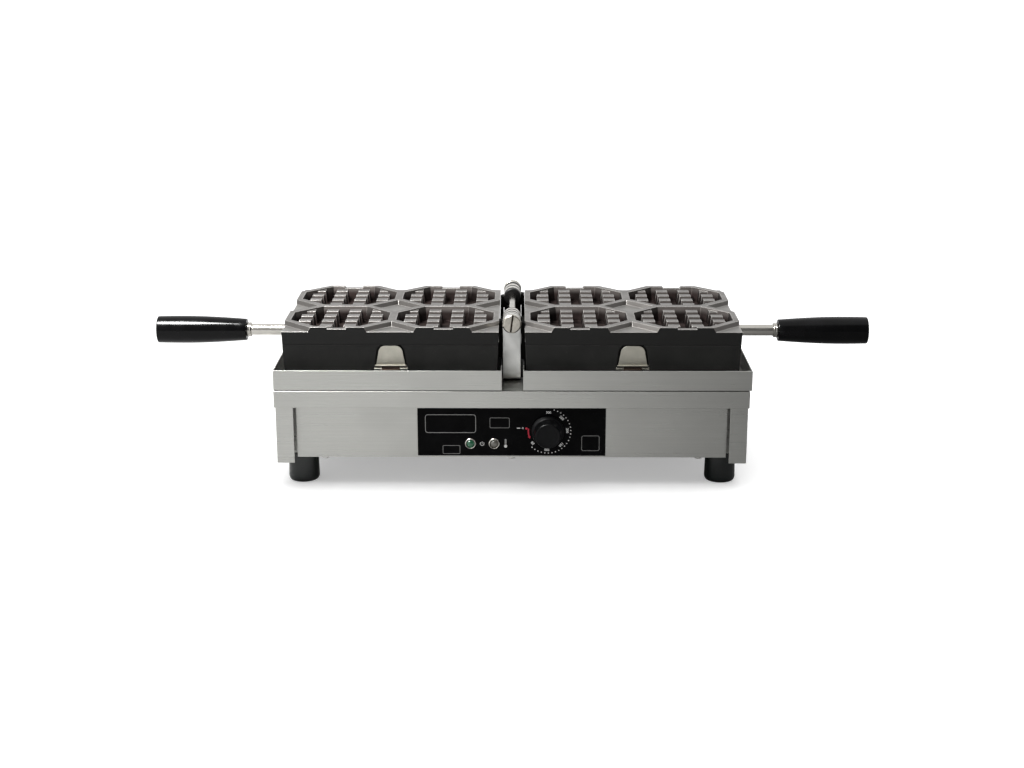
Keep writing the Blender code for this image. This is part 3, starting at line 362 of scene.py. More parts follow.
def turned_metal(name, colour, roughness, grain=1400.0, shade_front=None):
    """Turned and polished metal with faint rings and fingerprints."""
    finish = Finish(name, roughness, metallic=1.0)
    rings = finish.noise(grain, detail=2.0)
    prints = finish.noise(60.0, detail=4.0)
    clean = finish.mix(finish.remap(prints, 0.4, 0.75, 0.0, 0.35), colour, tuple(c * 0.74 for c in colour))
    rough = finish.remap(prints, 0.35, 0.7, roughness, roughness + 0.12)
    finish.metal(clean, rough, shade_front)
    finish.bump(rings, 0.01 * MM, 0.4)
    return finish.material


CAST_BLACK = (0.0065, 0.0065, 0.0058)


def cast_grain(finish):
    """Fine sand-cast texture with a few larger lumps."""
    fine = finish.noise(900.0, detail=4.0, roughness=0.65)
    lumps = finish.noise(120.0, detail=3.0)
    return finish.maths("ADD", fine, finish.maths("MULTIPLY", lumps, 0.8))


def cast_iron(name):
    """Black painted casting: sand grain, slightly scuffed and greyer along its edges."""
    finish = Finish(name, 0.62, specular=0.22)
    grain = cast_grain(finish)
    patches = finish.noise(35.0, detail=5.0)
    base = finish.mix(finish.remap(patches, 0.35, 0.7), CAST_BLACK, tuple(c * 1.9 for c in CAST_BLACK))
    speckled = finish.mix(finish.remap(grain, 1.02, 1.25, 0.0, 0.6), base, (0.022, 0.0215, 0.020))
    finish.colour(finish.mix(finish.maths("MULTIPLY", finish.edges(1.0 * MM), 0.45), speckled,
                             (0.055, 0.053, 0.049)))
    finish.roughness(finish.remap(patches, 0.3, 0.7, 0.52, 0.70))
    finish.bump(grain, 0.22 * MM, 0.55)
    return finish.material


def plate_iron(name):
    """Seasoned waffle plate with painted black sides; painted light makes upward faces grey and edges bright,
    painted shade darkens steep faces, side-facing walls and the cavity floors, whose colour is partly
    seasoning.
    """
    finish = Finish(name, 0.45, metallic=0.85)
    grain = cast_grain(finish)
    slope = finish.coordinate("Z", "Normal")
    sideways = finish.maths("ABSOLUTE", finish.coordinate("X", "Normal"))
    height = finish.coordinate("Z")
    patches = finish.noise(45.0, detail=6.0)
    # Light grey for upward faces near the top: painted light, in two random tones and darker in the grain.
    lit_tops = finish.mix(finish.remap(patches, 0.35, 0.7), (0.24, 0.231, 0.219), (0.165, 0.158, 0.150))
    lit_tops = finish.mix(finish.remap(grain, 0.75, 1.05, 0.55, 0.0), lit_tops, (0.14, 0.132, 0.127))
    # Steeper faces darker: painted shade.
    steep = finish.remap(slope, 0.85, 0.60)
    lit_tops = finish.mix(steep, lit_tops, (0.125, 0.118, 0.111))
    # Darker towards the cavity floors: painted shade, in colours that are partly seasoning.
    near_top = finish.remap(height, HINGE_Z - 9.0 * MM, HINGE_Z - 2.5 * MM, smooth=True)
    crust_and_shade = finish.mix(finish.remap(patches, 0.4, 0.65), (0.016, 0.0115, 0.0105), (0.050, 0.035, 0.032))
    rubbed_and_shaded = finish.mix(near_top, crust_and_shade, finish.mix(patches, (0.185, 0.168, 0.158), (0.080, 0.068, 0.063)))
    # Walls turned sideways nearly black: painted shade.
    walls = finish.mix(finish.remap(sideways, 0.45, 0.90, 0.0, 0.85), rubbed_and_shaded, (0.008, 0.0062, 0.0058))
    sides = finish.mix(finish.remap(slope, 0.07, 0.12), CAST_BLACK, walls)
    shallow = finish.remap(height, HINGE_Z - 13.0 * MM, HINGE_Z - 5.5 * MM, smooth=True)
    # Mask of the upward faces near the top that get the painted light.
    bright = finish.maths("MULTIPLY", finish.remap(slope, 0.22, 0.34), shallow)
    surface = finish.mix(bright, sides, lit_tops)
    # Low flats lighter: painted light, making up for their occlusion.
    low_flat = finish.maths("MULTIPLY", finish.remap(slope, 0.90, 0.97),
                            finish.remap(height, HINGE_Z - 3.0 * MM, HINGE_Z - 4.0 * MM))
    surface = finish.mix(finish.maths("MULTIPLY", low_flat, shallow), surface, (0.255, 0.249, 0.238))
    # Edges near the top much lighter: painted highlight.
    edge_highlight = finish.maths("MULTIPLY", finish.edges(1.1 * MM), finish.maths("MULTIPLY", shallow, 0.85))
    above = finish.remap(slope, 0.12, 0.30)
    finish.colour(finish.mix(finish.maths("MULTIPLY", edge_highlight, above), surface, (0.76, 0.74, 0.71)))
    finish.roughness(finish.mix_value(bright, 0.64, finish.remap(patches, 0.3, 0.7, 0.38, 0.52)))
    finish.connect(finish.remap(slope, 0.07, 0.12, 0.0, 0.85), finish.shader.inputs["Metallic"])
    finish.bump(grain, 0.20 * MM, 0.5)
    finish.shader.inputs["Specular IOR Level"].default_value = 0.22
    return finish.material


def hinge_iron(name, colour, joints):
    """Hinge knuckle: bright turned ears with grime at their joints, black foot against the block."""
    finish = Finish(name, 0.34, metallic=0.9)
    radius = finish.hinge_radius()
    foot = finish.remap(radius, 9.55 * MM, 9.70 * MM)
    prints = finish.noise(90.0, detail=4.0)
    ear = finish.mix(finish.remap(prints, 0.4, 0.7), colour, tuple(c * 0.7 for c in colour))
    depth = finish.coordinate("Y")
    grime = foot
    for joint in joints:
        away = finish.maths("ABSOLUTE", finish.maths("SUBTRACT", depth, joint))
        grime = finish.maths("MAXIMUM", grime, finish.remap(away, 2.0 * MM, 1.5 * MM))
    finish.colour(finish.mix(grime, ear, CAST_BLACK))
    finish.connect(finish.remap(grime, 0.0, 1.0, 0.9, 0.0), finish.shader.inputs["Metallic"])
    finish.roughness(finish.mix_value(grime, finish.remap(prints, 0.3, 0.7, 0.24, 0.38), 0.8))
    finish.shader.inputs["Specular IOR Level"].default_value = 0.03
    finish.bump(finish.noise(900.0), 0.06 * MM, 0.4)
    return finish.material


def slotted_nut(name, colour, front, back):
    """Nickel-plated nut between two depths: polished outside, with grime down in its slot."""
    finish = Finish(name, 0.26, metallic=1.0)
    radius = finish.hinge_radius()
    inside = finish.remap(radius, 9.5 * MM, 9.3 * MM)
    sunk = finish.maths("MULTIPLY", finish.remap(finish.coordinate("Y"), front + 0.2 * MM, front + 0.5 * MM),
                        finish.remap(finish.coordinate("Y"), back - 0.2 * MM, back - 0.5 * MM))
    prints = finish.noise(160.0, detail=5.0)
    plated = finish.mix(finish.remap(prints, 0.4, 0.7), colour, tuple(c * 0.72 for c in colour))
    finish.colour(finish.mix(finish.maths("MULTIPLY", inside, sunk), plated, (0.030, 0.024, 0.020)))
    finish.roughness(finish.remap(prints, 0.3, 0.7, 0.22, 0.36))
    finish.bump(finish.noise(1200.0), 0.02 * MM, 0.4)
    return finish.material


def satin_tab(name, colour, ledge):
    """Satin lock tab, heat-stained brown below its ledge."""
    finish = Finish(name, 0.42, metallic=1.0)
    cloud = finish.noise(80.0, detail=4.0)
    satin = finish.mix(finish.remap(cloud, 0.35, 0.7), colour, tuple(c * 0.85 for c in colour))
    finish.colour(finish.mix(finish.remap(finish.coordinate("Z"), ledge + 0.2 * MM, ledge), satin,
                             (0.050, 0.036, 0.030)))
    finish.roughness(finish.remap(cloud, 0.3, 0.7, 0.38, 0.48))
    finish.bump(finish.noise(1500.0), 0.02 * MM, 0.4)
    return finish.material


def moulded(name, colour, roughness, specular=0.5, grain=0.4, scale=1100.0):
    """Moulded plastic: fine texture, slight gloss variation, paler patches of wear."""
    finish = Finish(name, roughness, specular=specular)
    texture = finish.noise(scale, detail=3.0)
    wear = finish.noise(70.0, detail=5.0)
    paler = tuple(min(1.0, c * 1.5 + 0.004) for c in colour)
    finish.colour(finish.mix(finish.remap(wear, 0.4, 0.75, 0.0, 0.5), colour, paler))
    finish.roughness(finish.remap(wear, 0.3, 0.7, roughness - 0.04, roughness + 0.07))
    finish.bump(texture, 0.03 * MM, grain)
    return finish.material


def lens(name, colour, glow):
    """Tinted translucent cap of an indicator lamp, lit a little from within."""
    finish = Finish(name, 0.10, specular=0.6)
    cloud = finish.noise(600.0, detail=2.0)
    finish.colour(finish.mix(cloud, colour, tuple(c * 0.55 for c in colour)))
    finish.bump(finish.cells(900.0), 0.15 * MM, 0.8)
    finish.shader.inputs["Coat Weight"].default_value = 0.6
    finish.shader.inputs["Emission Color"].default_value = (*colour, 1.0)
    finish.shader.inputs["Emission Strength"].default_value = glow
    return finish.material


def woven_wool(name):
    finish = Finish(name, 0.95, specular=0.1)
    fibres = finish.noise((260.0, 900.0, 900.0), detail=6.0)
    finish.colour(finish.mix(fibres, (0.46, 0.42, 0.30), (0.74, 0.70, 0.56)))
    finish.bump(fibres, 0.6 * MM, 0.9)
    return finish.material


def braided_sleeve(name):
    finish = Finish(name, 0.85, specular=0.2)
    braid = finish.cells(1100.0)
    finish.colour(finish.mix(finish.remap(braid, 0.1, 0.6), (0.66, 0.63, 0.54), (0.34, 0.31, 0.26)))
    finish.bump(braid, 0.3 * MM, 0.8)
    return finish.material


def printed(name, colour):
    """Screen-printed ink: slightly uneven."""
    finish = Finish(name, 0.42, specular=0.3)
    ink = finish.noise(1500.0, detail=3.0)
    finish.colour(finish.mix(finish.remap(ink, 0.4, 0.75, 0.0, 0.4), colour, tuple(c * 0.62 for c in colour)))
    return finish.material


def make_finishes():
    steel = (0.44, 0.44, 0.418)
    ledge_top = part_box("left_lock_tab")[0].z + 5.0 * MM
    nut_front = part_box("front_pivot_nut")[0].y
    nut_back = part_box("rear_pivot_nut")[1].y
    # Painted shade between the blocks: on the deck and the strap from the front knuckles backwards, on the
    # drip trays from 32 mm further forward.
    strap_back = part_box("left_front_knuckle")[0].y - 0.2 * MM
    tray_shade_front = strap_back - 32.0 * MM
    joints = []
    for knuckle in ("left_front_knuckle", "right_front_knuckle", "left_rear_knuckle", "right_rear_knuckle"):
        joints += [corner.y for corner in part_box(knuckle)]
    return {
        "steel": brushed_steel("brushed_steel", steel, 0.30, streaks=0.3),
        "inner_steel": brushed_steel("inner_steel", steel, 0.30, streaks=0.3, shade_front=tray_shade_front),
        "deck_steel": brushed_steel("deck_steel", steel, 0.30, streaks=0.3, shade_front=strap_back),
        "polished_steel": turned_metal("polished_steel", (0.55, 0.53, 0.49), 0.14),
        "screw_steel": turned_metal("screw_steel", (0.82, 0.81, 0.78), 0.45),
        "nickel": turned_metal("nickel_plate", (0.50, 0.475, 0.42), 0.26),
        "casting": cast_iron("black_casting"),
        "plate_iron": plate_iron("seasoned_iron"),
        "strap_steel": turned_metal("strap_steel", (0.70, 0.70, 0.68), 0.38, grain=2200.0,
                                    shade_front=strap_back),
        "lock_tab": satin_tab("lock_tab_steel", (0.49, 0.473, 0.41), ledge_top),
        "slotted_nut": slotted_nut("slotted_nut", (0.50, 0.475, 0.42), nut_front, nut_back),
        "hinge_iron": hinge_iron("hinge_iron", (0.66, 0.64, 0.60), joints),
        "phenolic": moulded("black_phenolic", (0.0030, 0.0030, 0.0034), 0.13, specular=0.16, grain=0.06),
        "label": moulded("label_black", (0.0022, 0.0022, 0.0024), 0.30, specular=0.03, grain=0.05),
        "knob_plastic": moulded("knob_black", (0.0028, 0.0030, 0.0034), 0.34, specular=0.12, grain=0.25),
        "foot_plastic": moulded("foot_black", (0.0050, 0.0075, 0.0068), 0.20, specular=0.45, grain=0.12),
        "black_oxide": moulded("black_bush", (0.0040, 0.0040, 0.0040), 0.40, specular=0.30),
        "green_lens": lens("green_lens", (0.004, 0.115, 0.048), 0.12),
        "clear_lens": lens("clear_lens", (0.20, 0.19, 0.165), 0.0),
        "heater_sheath": turned_metal("heater_sheath", (0.16, 0.14, 0.12), 0.42),
        "mineral_wool": woven_wool("mineral_wool"),
        "white_plastic": moulded("white_plastic", (0.62, 0.61, 0.57), 0.50),
        "grey_plastic": moulded("grey_plastic", (0.085, 0.085, 0.092), 0.48),
        "lead_sleeve": braided_sleeve("lead_sleeve"),
        "white_ink": printed("white_ink", (0.86, 0.86, 0.84)),
        "red_ink": printed("red_ink", (0.55, 0.018, 0.045)),
        "grey_ink": printed("grey_ink", (0.30, 0.30, 0.29)),
    }


# ---------------------------------------------------------------- shape helpers

def refine(name, width, segments=2):
    """Joined, cleaned and lightly rounded edges on a CAD node, by modifiers only."""
    node = frame["nodes"][name]
    weld = node.modifiers.new("weld", "WELD")
    weld.merge_threshold = 0.01 * MM
    clean = node.modifiers.new("clean", "DECIMATE")
    clean.decimate_type = "DISSOLVE"
    clean.angle_limit = math.radians(0.5)
    bevel = node.modifiers.new("bevel", "BEVEL")
    bevel.width = width
    bevel.segments = segments
    bevel.limit_method = "ANGLE"
    bevel.angle_limit = math.radians(25.0)
    bevel.harden_normals = True


def place(axis, u, v, w):
    """Point with w along the axis and (u, v) along the other two, in X, Y, Z order."""
    if axis == "X":
        return Vector((w, u, v))
    if axis == "Y":
        return Vector((u, w, v))
    return Vector((u, v, w))


def filleted(profile, radius, steps=5):
    """The profile with each corner between its ends rounded off."""
    points = [Vector(p) for p in profile]
    result = [points[0]]
    for before, corner, after in zip(points, points[1:], points[2:]):
        to_before, to_after = before - corner, after - corner
        cut = min(radius, 0.45 * to_before.length, 0.45 * to_after.length)
        start = corner + to_before.normalized() * cut
        end = corner + to_after.normalized() * cut
        for i in range(steps + 1):
            t = i / steps
            result.append(start.lerp(corner, t).lerp(corner.lerp(end, t), t))
    result.append(points[-1])
    return [tuple(p) for p in result]


def add_turned(mesh, axis, centre, profile, segments=FINE, ring=False):
    """Turn (radius, position) points about a line through centre (u, v) along the axis."""
    loops = []
    for radius, position in profile:
        if radius <= 1e-7:
            loops.append([mesh.verts.new(place(axis, *centre, position))])
            continue
        loop = []
        for i in range(segments):
            angle = 2.0 * math.pi * i / segments
            u = centre[0] + radius * math.cos(angle)
            v = centre[1] + radius * math.sin(angle)
            loop.append(mesh.verts.new(place(axis, u, v, position)))
        loops.append(loop)
    pairs = list(zip(loops, loops[1:]))
    if ring:
        pairs.append((loops[-1], loops[0]))
    faces = []
    for first, second in pairs:
        for i in range(segments):
            j = (i + 1) % segments
            corners = [first[i % len(first)], first[j % len(first)],
                       second[j % len(second)], second[i % len(second)]]
            faces.append(mesh.faces.new(list(dict.fromkeys(corners))))
    bmesh.ops.recalc_face_normals(mesh, faces=faces)


def add_plate(mesh, outline, back, front):
    """Flat piece with a vertical (x, z) outline, from y = back to y = front."""
    rings = [[mesh.verts.new((x, y, z)) for x, z in outline] for y in (back, front)]
    faces = [mesh.faces.new(ring) for ring in rings]
    count = len(outline)
    for i in range(count):
        j = (i + 1) % count
        faces.append(mesh.faces.new((rings[0][i], rings[0][j], rings[1][j], rings[1][i])))
    bmesh.ops.recalc_face_normals(mesh, faces=faces)


def add_band(mesh, inner, outer, back, front, closed=True):
    """Flat band between two (x, z) outlines with the same number of points."""
    loops = []
    for outline, y in ((inner, back), (outer, back), (outer, front), (inner, front)):
        loops.append([mesh.verts.new((x, y, z)) for x, z in outline])
    count = len(inner)
    faces = []
    for i in range(count if closed else count - 1):
        j = (i + 1) % count
        for first, second in zip(loops, loops[1:] + loops[:1]):
            faces.append(mesh.faces.new((first[i], first[j], second[j], second[i])))
    if not closed:
        for i in (0, count - 1):
            faces.append(mesh.faces.new([loop[i] for loop in loops]))
    bmesh.ops.recalc_face_normals(mesh, faces=faces)


def arc(centre, radius, start, end, steps):
    """Points on an arc from the start angle to the end angle, in degrees."""
    points = []
    for i in range(steps + 1):
        angle = math.radians(start + (end - start) * i / steps)
        points.append((centre[0] + radius * math.cos(angle), centre[1] + radius * math.sin(angle)))
    return points


def rounded_rectangle(low, high, radius, steps=6):
    points = []
    for x, z, start in ((high[0] - radius, high[1] - radius, 0), (low[0] + radius, high[1] - radius, 90),
                        (low[0] + radius, low[1] + radius, 180), (high[0] - radius, low[1] + radius, 270)):
        points += arc((x, z), radius, start, start + 90, steps)
    return points


def add_text(mesh, words, size, centre, turn, y):
    """Raised lettering on the label, facing the front; turn is in degrees, anticlockwise."""
    curve = bpy.data.curves.new(f"text_{words}", "FONT")
    curve.body = words
    curve.size = size
    curve.extrude = PRINT_HEIGHT
    curve.offset = 0.10 * MM
    curve.align_x = "CENTER"
    curve.align_y = "CENTER"
    curve.resolution_u = 3
    holder = bpy.data.objects.new(f"text_{words}", curve)
    bpy.context.scene.collection.objects.link(holder)
    bpy.context.view_layer.update()
    letters = bpy.data.meshes.new_from_object(holder)
    facing = Matrix.Rotation(math.radians(90.0), 4, "X")
    letters.transform(Matrix.Translation((centre[0], y, centre[1])) @ facing
                      @ Matrix.Rotation(math.radians(turn), 4, "Z"))
    mesh.from_mesh(letters)
    bpy.data.objects.remove(holder)
    bpy.data.curves.remove(curve)
    bpy.data.meshes.remove(letters)


def finish_piece(name, mesh, material, body, replaced=(), smooth=True):
    """Object from a bmesh in the row frame, riding on a body and finished as a material slot."""
    data = bpy.data.meshes.new(name)
    mesh.to_mesh(data)
    mesh.free()
    data.materials.append(material)
    if smooth:
        data.shade_smooth()
        data.set_sharp_from_angle(angle=SHARP)
    piece = bpy.data.objects.new(name, data)
    bpy.context.scene.collection.objects.link(piece)
    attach(piece, body)
    if replaced:
        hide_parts(*replaced)
    return piece


# ---------------------------------------------------------------- handles

BORE_DEPTH = 30.0 * MM       # how far each rod goes into its grip


def grip_profile(inner_end, outer_end, widest, bore):
    """Tapered grip, fullest near its outer end, which is rounded and has a shallow dimple."""
    length = outer_end - inner_end
    fullest = 0.72           # how far out, as a share of the length
    belly = []
    for i in range(17):
        t = i / 16
        swell = math.sin(0.5 * math.pi * t / fullest)
        if t >= fullest:
            swell = 1.0 - 0.10 * ((t - fullest) / (1.0 - fullest)) ** 2
        belly.append((widest - 3.1 * MM * (1.0 - swell), inner_end + 1.2 * MM + t * (length - 3.4 * MM)))
    mouth = filleted([(0.0, inner_end + BORE_DEPTH), (bore, inner_end + BORE_DEPTH), (bore, inner_end),
                      (belly[0][0] - 0.4 * MM, inner_end), belly[0]], 0.8 * MM)
    last = belly[-1][0]
    cap = filleted([belly[-1], (last - 0.1 * MM, outer_end), (4.2 * MM, outer_end),
                    (3.6 * MM, outer_end - 0.7 * MM), (0.0, outer_end - 0.8 * MM)], 2.0 * MM, 8)
    return mouth[:-1] + belly[:-1] + cap


def build_handles(finishes):
    for side, sign in SIDES.items():
        block = f"{side}_block"
        grip_low, grip_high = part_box(f"{side}_handle_grip")
        rod_low, rod_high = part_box(f"{side}_handle_rod")
        collar_low, collar_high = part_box(f"{side}_handle_collar")
        centre = ((rod_low.y + rod_high.y) / 2, (rod_low.z + rod_high.z) / 2)
        radius = (rod_high.z - rod_low.z) / 2
        ends = sorted((abs(grip_low.x), abs(grip_high.x)))

        mesh = bmesh.new()
        widest = (grip_high.z - grip_low.z) / 2 - 0.05 * MM
        profile = grip_profile(ends[0], ends[1], widest, radius + 0.3 * MM)
        add_turned(mesh, "X", centre, [(r, sign * x) for r, x in profile])
        finish_piece(f"{side}_grip", mesh, finishes["phenolic"], block, (f"{side}_handle_grip",))

        start, end = sorted((abs(rod_low.x), abs(rod_high.x)))
        end = ends[0] + BORE_DEPTH - 1.0 * MM
        mesh = bmesh.new()
        rod = filleted([(0.0, start), (radius, start), (radius, end), (0.0, end)], 0.8 * MM)
        add_turned(mesh, "X", centre, [(r, sign * x) for r, x in rod])
        finish_piece(f"{side}_rod", mesh, finishes["polished_steel"], block,
                     (f"{side}_handle_rod",))

        start, end = sorted((abs(collar_low.x), abs(collar_high.x)))
        outer = (collar_high.z - collar_low.z) / 2
        middle = (start + end) / 2
        mesh = bmesh.new()
        ring = filleted([(radius + 0.1 * MM, start), (outer - 0.4 * MM, start), (outer, start + 1.2 * MM),
                         (outer - 0.5 * MM, middle), (outer, end - 1.2 * MM), (outer - 0.4 * MM, end),
                         (radius + 0.1 * MM, end)], 0.5 * MM, 3)
        add_turned(mesh, "X", centre, [(r, sign * x) for r, x in ring], ring=True)
        finish_piece(f"{side}_collar", mesh, finishes["polished_steel"], block,
                     (f"{side}_handle_collar",))


# ---------------------------------------------------------------- feet and small fasteners

def build_feet(finishes):
    """Moulded feet, slightly tapered, with a soft lower edge and a recessed underside."""
    for side in SIDES:
        for end in ("front", "back"):
            node = f"{end}_{side}_foot"
            low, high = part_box(node)
            centre = ((low.x + high.x) / 2, (low.y + high.y) / 2)
            radius = (high.x - low.x) / 2
            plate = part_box("base_plate")[0].z - 0.3 * MM
            body = filleted([(0.0, 1.6 * MM), (radius - 7.0 * MM, 1.6 * MM), (radius - 7.6 * MM, 0.0),
                             (radius - 1.6 * MM, 0.0), (radius, 3.4 * MM), (radius - 0.8 * MM, plate),
                             (3.0 * MM, plate), (3.0 * MM, high.z), (0.0, high.z)], 1.8 * MM, 6)
            mesh = bmesh.new()
            add_turned(mesh, "Z", centre, body)
            finish_piece(f"{node}_moulding", mesh, finishes["foot_plastic"], "base", (node,))


def build_screws(finishes):
    """Domed heads of the screws under the front panel, and of those round the rear panel."""
    for i in (1, 2, 3):
        node = f"panel_screw_{i}"
        low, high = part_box(node)
        centre = ((low.x + high.x) / 2, (low.y + high.y) / 2)
        radius = (high.x - low.x) / 2
        head_top = low.z + 2.2 * MM
        mesh = bmesh.new()
        add_turned(mesh, "Z", centre, filleted([
            (0.0, low.z + 0.9 * MM), (1.1 * MM, low.z + 0.8 * MM), (1.3 * MM, low.z),
            (radius - 1.0 * MM, low.z), (radius, low.z + 1.1 * MM), (radius, head_top), (2.0 * MM, head_top),
            (2.0 * MM, high.z), (0.0, high.z)], 0.6 * MM, 4), 48)
        finish_piece(f"{node}_turned", mesh, finishes["screw_steel"], "base", (node,))

    low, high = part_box("rear_panel")
    face = high.y
    mesh = bmesh.new()
    for x in (low.x + 9.0 * MM, (low.x + high.x) / 2, high.x - 9.0 * MM):
        for z in (low.z + 8.0 * MM, high.z - 24.0 * MM):
            add_turned(mesh, "Y", (x, z), filleted([
                (0.0, face + 1.1 * MM), (1.1 * MM, face + 1.1 * MM), (1.3 * MM, face + 2.1 * MM),
                (2.4 * MM, face + 1.9 * MM), (3.6 * MM, face + 0.9 * MM), (3.7 * MM, face - 0.1 * MM),
                (0.0, face - 0.1 * MM)], 0.5 * MM, 4), 40)
    finish_piece("rear_panel_screws", mesh, finishes["polished_steel"], "base")


# ---------------------------------------------------------------- controls

def build_lamps(finishes):
    """Chromed lamp bezels with a stepped lip, and domed lenses."""
    for name, tint in (("power", "green_lens"), ("heating", "clear_lens")):
        low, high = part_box(f"{name}_lamp_bezel")
        centre = ((low.x + high.x) / 2, (low.z + high.z) / 2)
        radius = (high.x - low.x) / 2
        front = low.y
        mesh = bmesh.new()
        bezel = filleted([(4.35 * MM, front + 1.0 * MM), (4.8 * MM, front + 0.1 * MM), (5.2 * MM, front),
                          (radius - 0.3 * MM, front + 0.7 * MM), (radius, front + 1.7 * MM),
                          (4.85 * MM, front + 1.7 * MM), (4.85 * MM, high.y), (4.35 * MM, high.y)],
                         0.4 * MM, 4)
        add_turned(mesh, "Y", centre, bezel, ring=True)
        finish_piece(f"{name}_bezel", mesh, finishes["polished_steel"], "base",
                     (f"{name}_lamp_bezel",))

        low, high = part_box(f"{name}_lamp_lens")
        radius = (high.x - low.x) / 2
        dome = [(0.0, low.y)]
        for i in range(1, 9):
            angle = 0.5 * math.pi * i / 8
            dome.append((radius * math.sin(angle), low.y + 2.8 * MM * (1.0 - math.cos(angle))))
        mesh = bmesh.new()
        add_turned(mesh, "Y", centre, dome + [(radius, high.y), (0.0, high.y)], 64)
        finish_piece(f"{name}_lens", mesh, finishes[tint], "base", (f"{name}_lamp_lens",))


def build_knob(finishes):
    """Round knob: a thin skirt, a plain cap with a softly dished face, and a moulded pointer."""
    low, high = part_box("thermostat_knob")
    centre = ((low.x + high.x) / 2, (low.z + high.z) / 2)
    radius = (high.x - low.x) / 2
    front, back = low.y, high.y
    cap = 13.5 * MM
    socket_end = -134.9 * MM     # y of the seat of the thermostat's shaft, in the knob's back
    profile = filleted([(0.0, front + 0.5 * MM), (cap - 3.2 * MM, front + 0.35 * MM), (cap - 1.8 * MM, front),
                        (cap - 0.7 * MM, front), (cap, front + 1.6 * MM), (cap + 0.7 * MM, back - 4.2 * MM),
                        (radius - 1.0 * MM, back - 2.7 * MM), (radius, back - 1.9 * MM), (radius, back),
                        (3.4 * MM, back), (3.4 * MM, socket_end), (0.0, socket_end)], 0.9 * MM, 6)
    mesh = bmesh.new()
    add_turned(mesh, "Y", centre, profile, 128)
    finish_piece("knob_moulding", mesh, finishes["knob_plastic"], "knob",
                 ("thermostat_knob",))

    mesh = bmesh.new()
    tip, root = cap + 3.0 * MM, cap - 0.6 * MM
    half = 1.1 * MM
    outline = [(-root, -half), (-root, half), (-tip + half, half), (-tip, 0.0), (-tip + half, -half)]
    add_plate(mesh, [(centre[0] + x, centre[1] + z) for x, z in outline], back - 2.2 * MM, back - 4.4 * MM)
    bmesh.ops.bevel(mesh, geom=mesh.edges, offset=0.25 * MM, segments=2, affect="EDGES")
    finish_piece("knob_pointer", mesh, finishes["knob_plastic"], "knob")


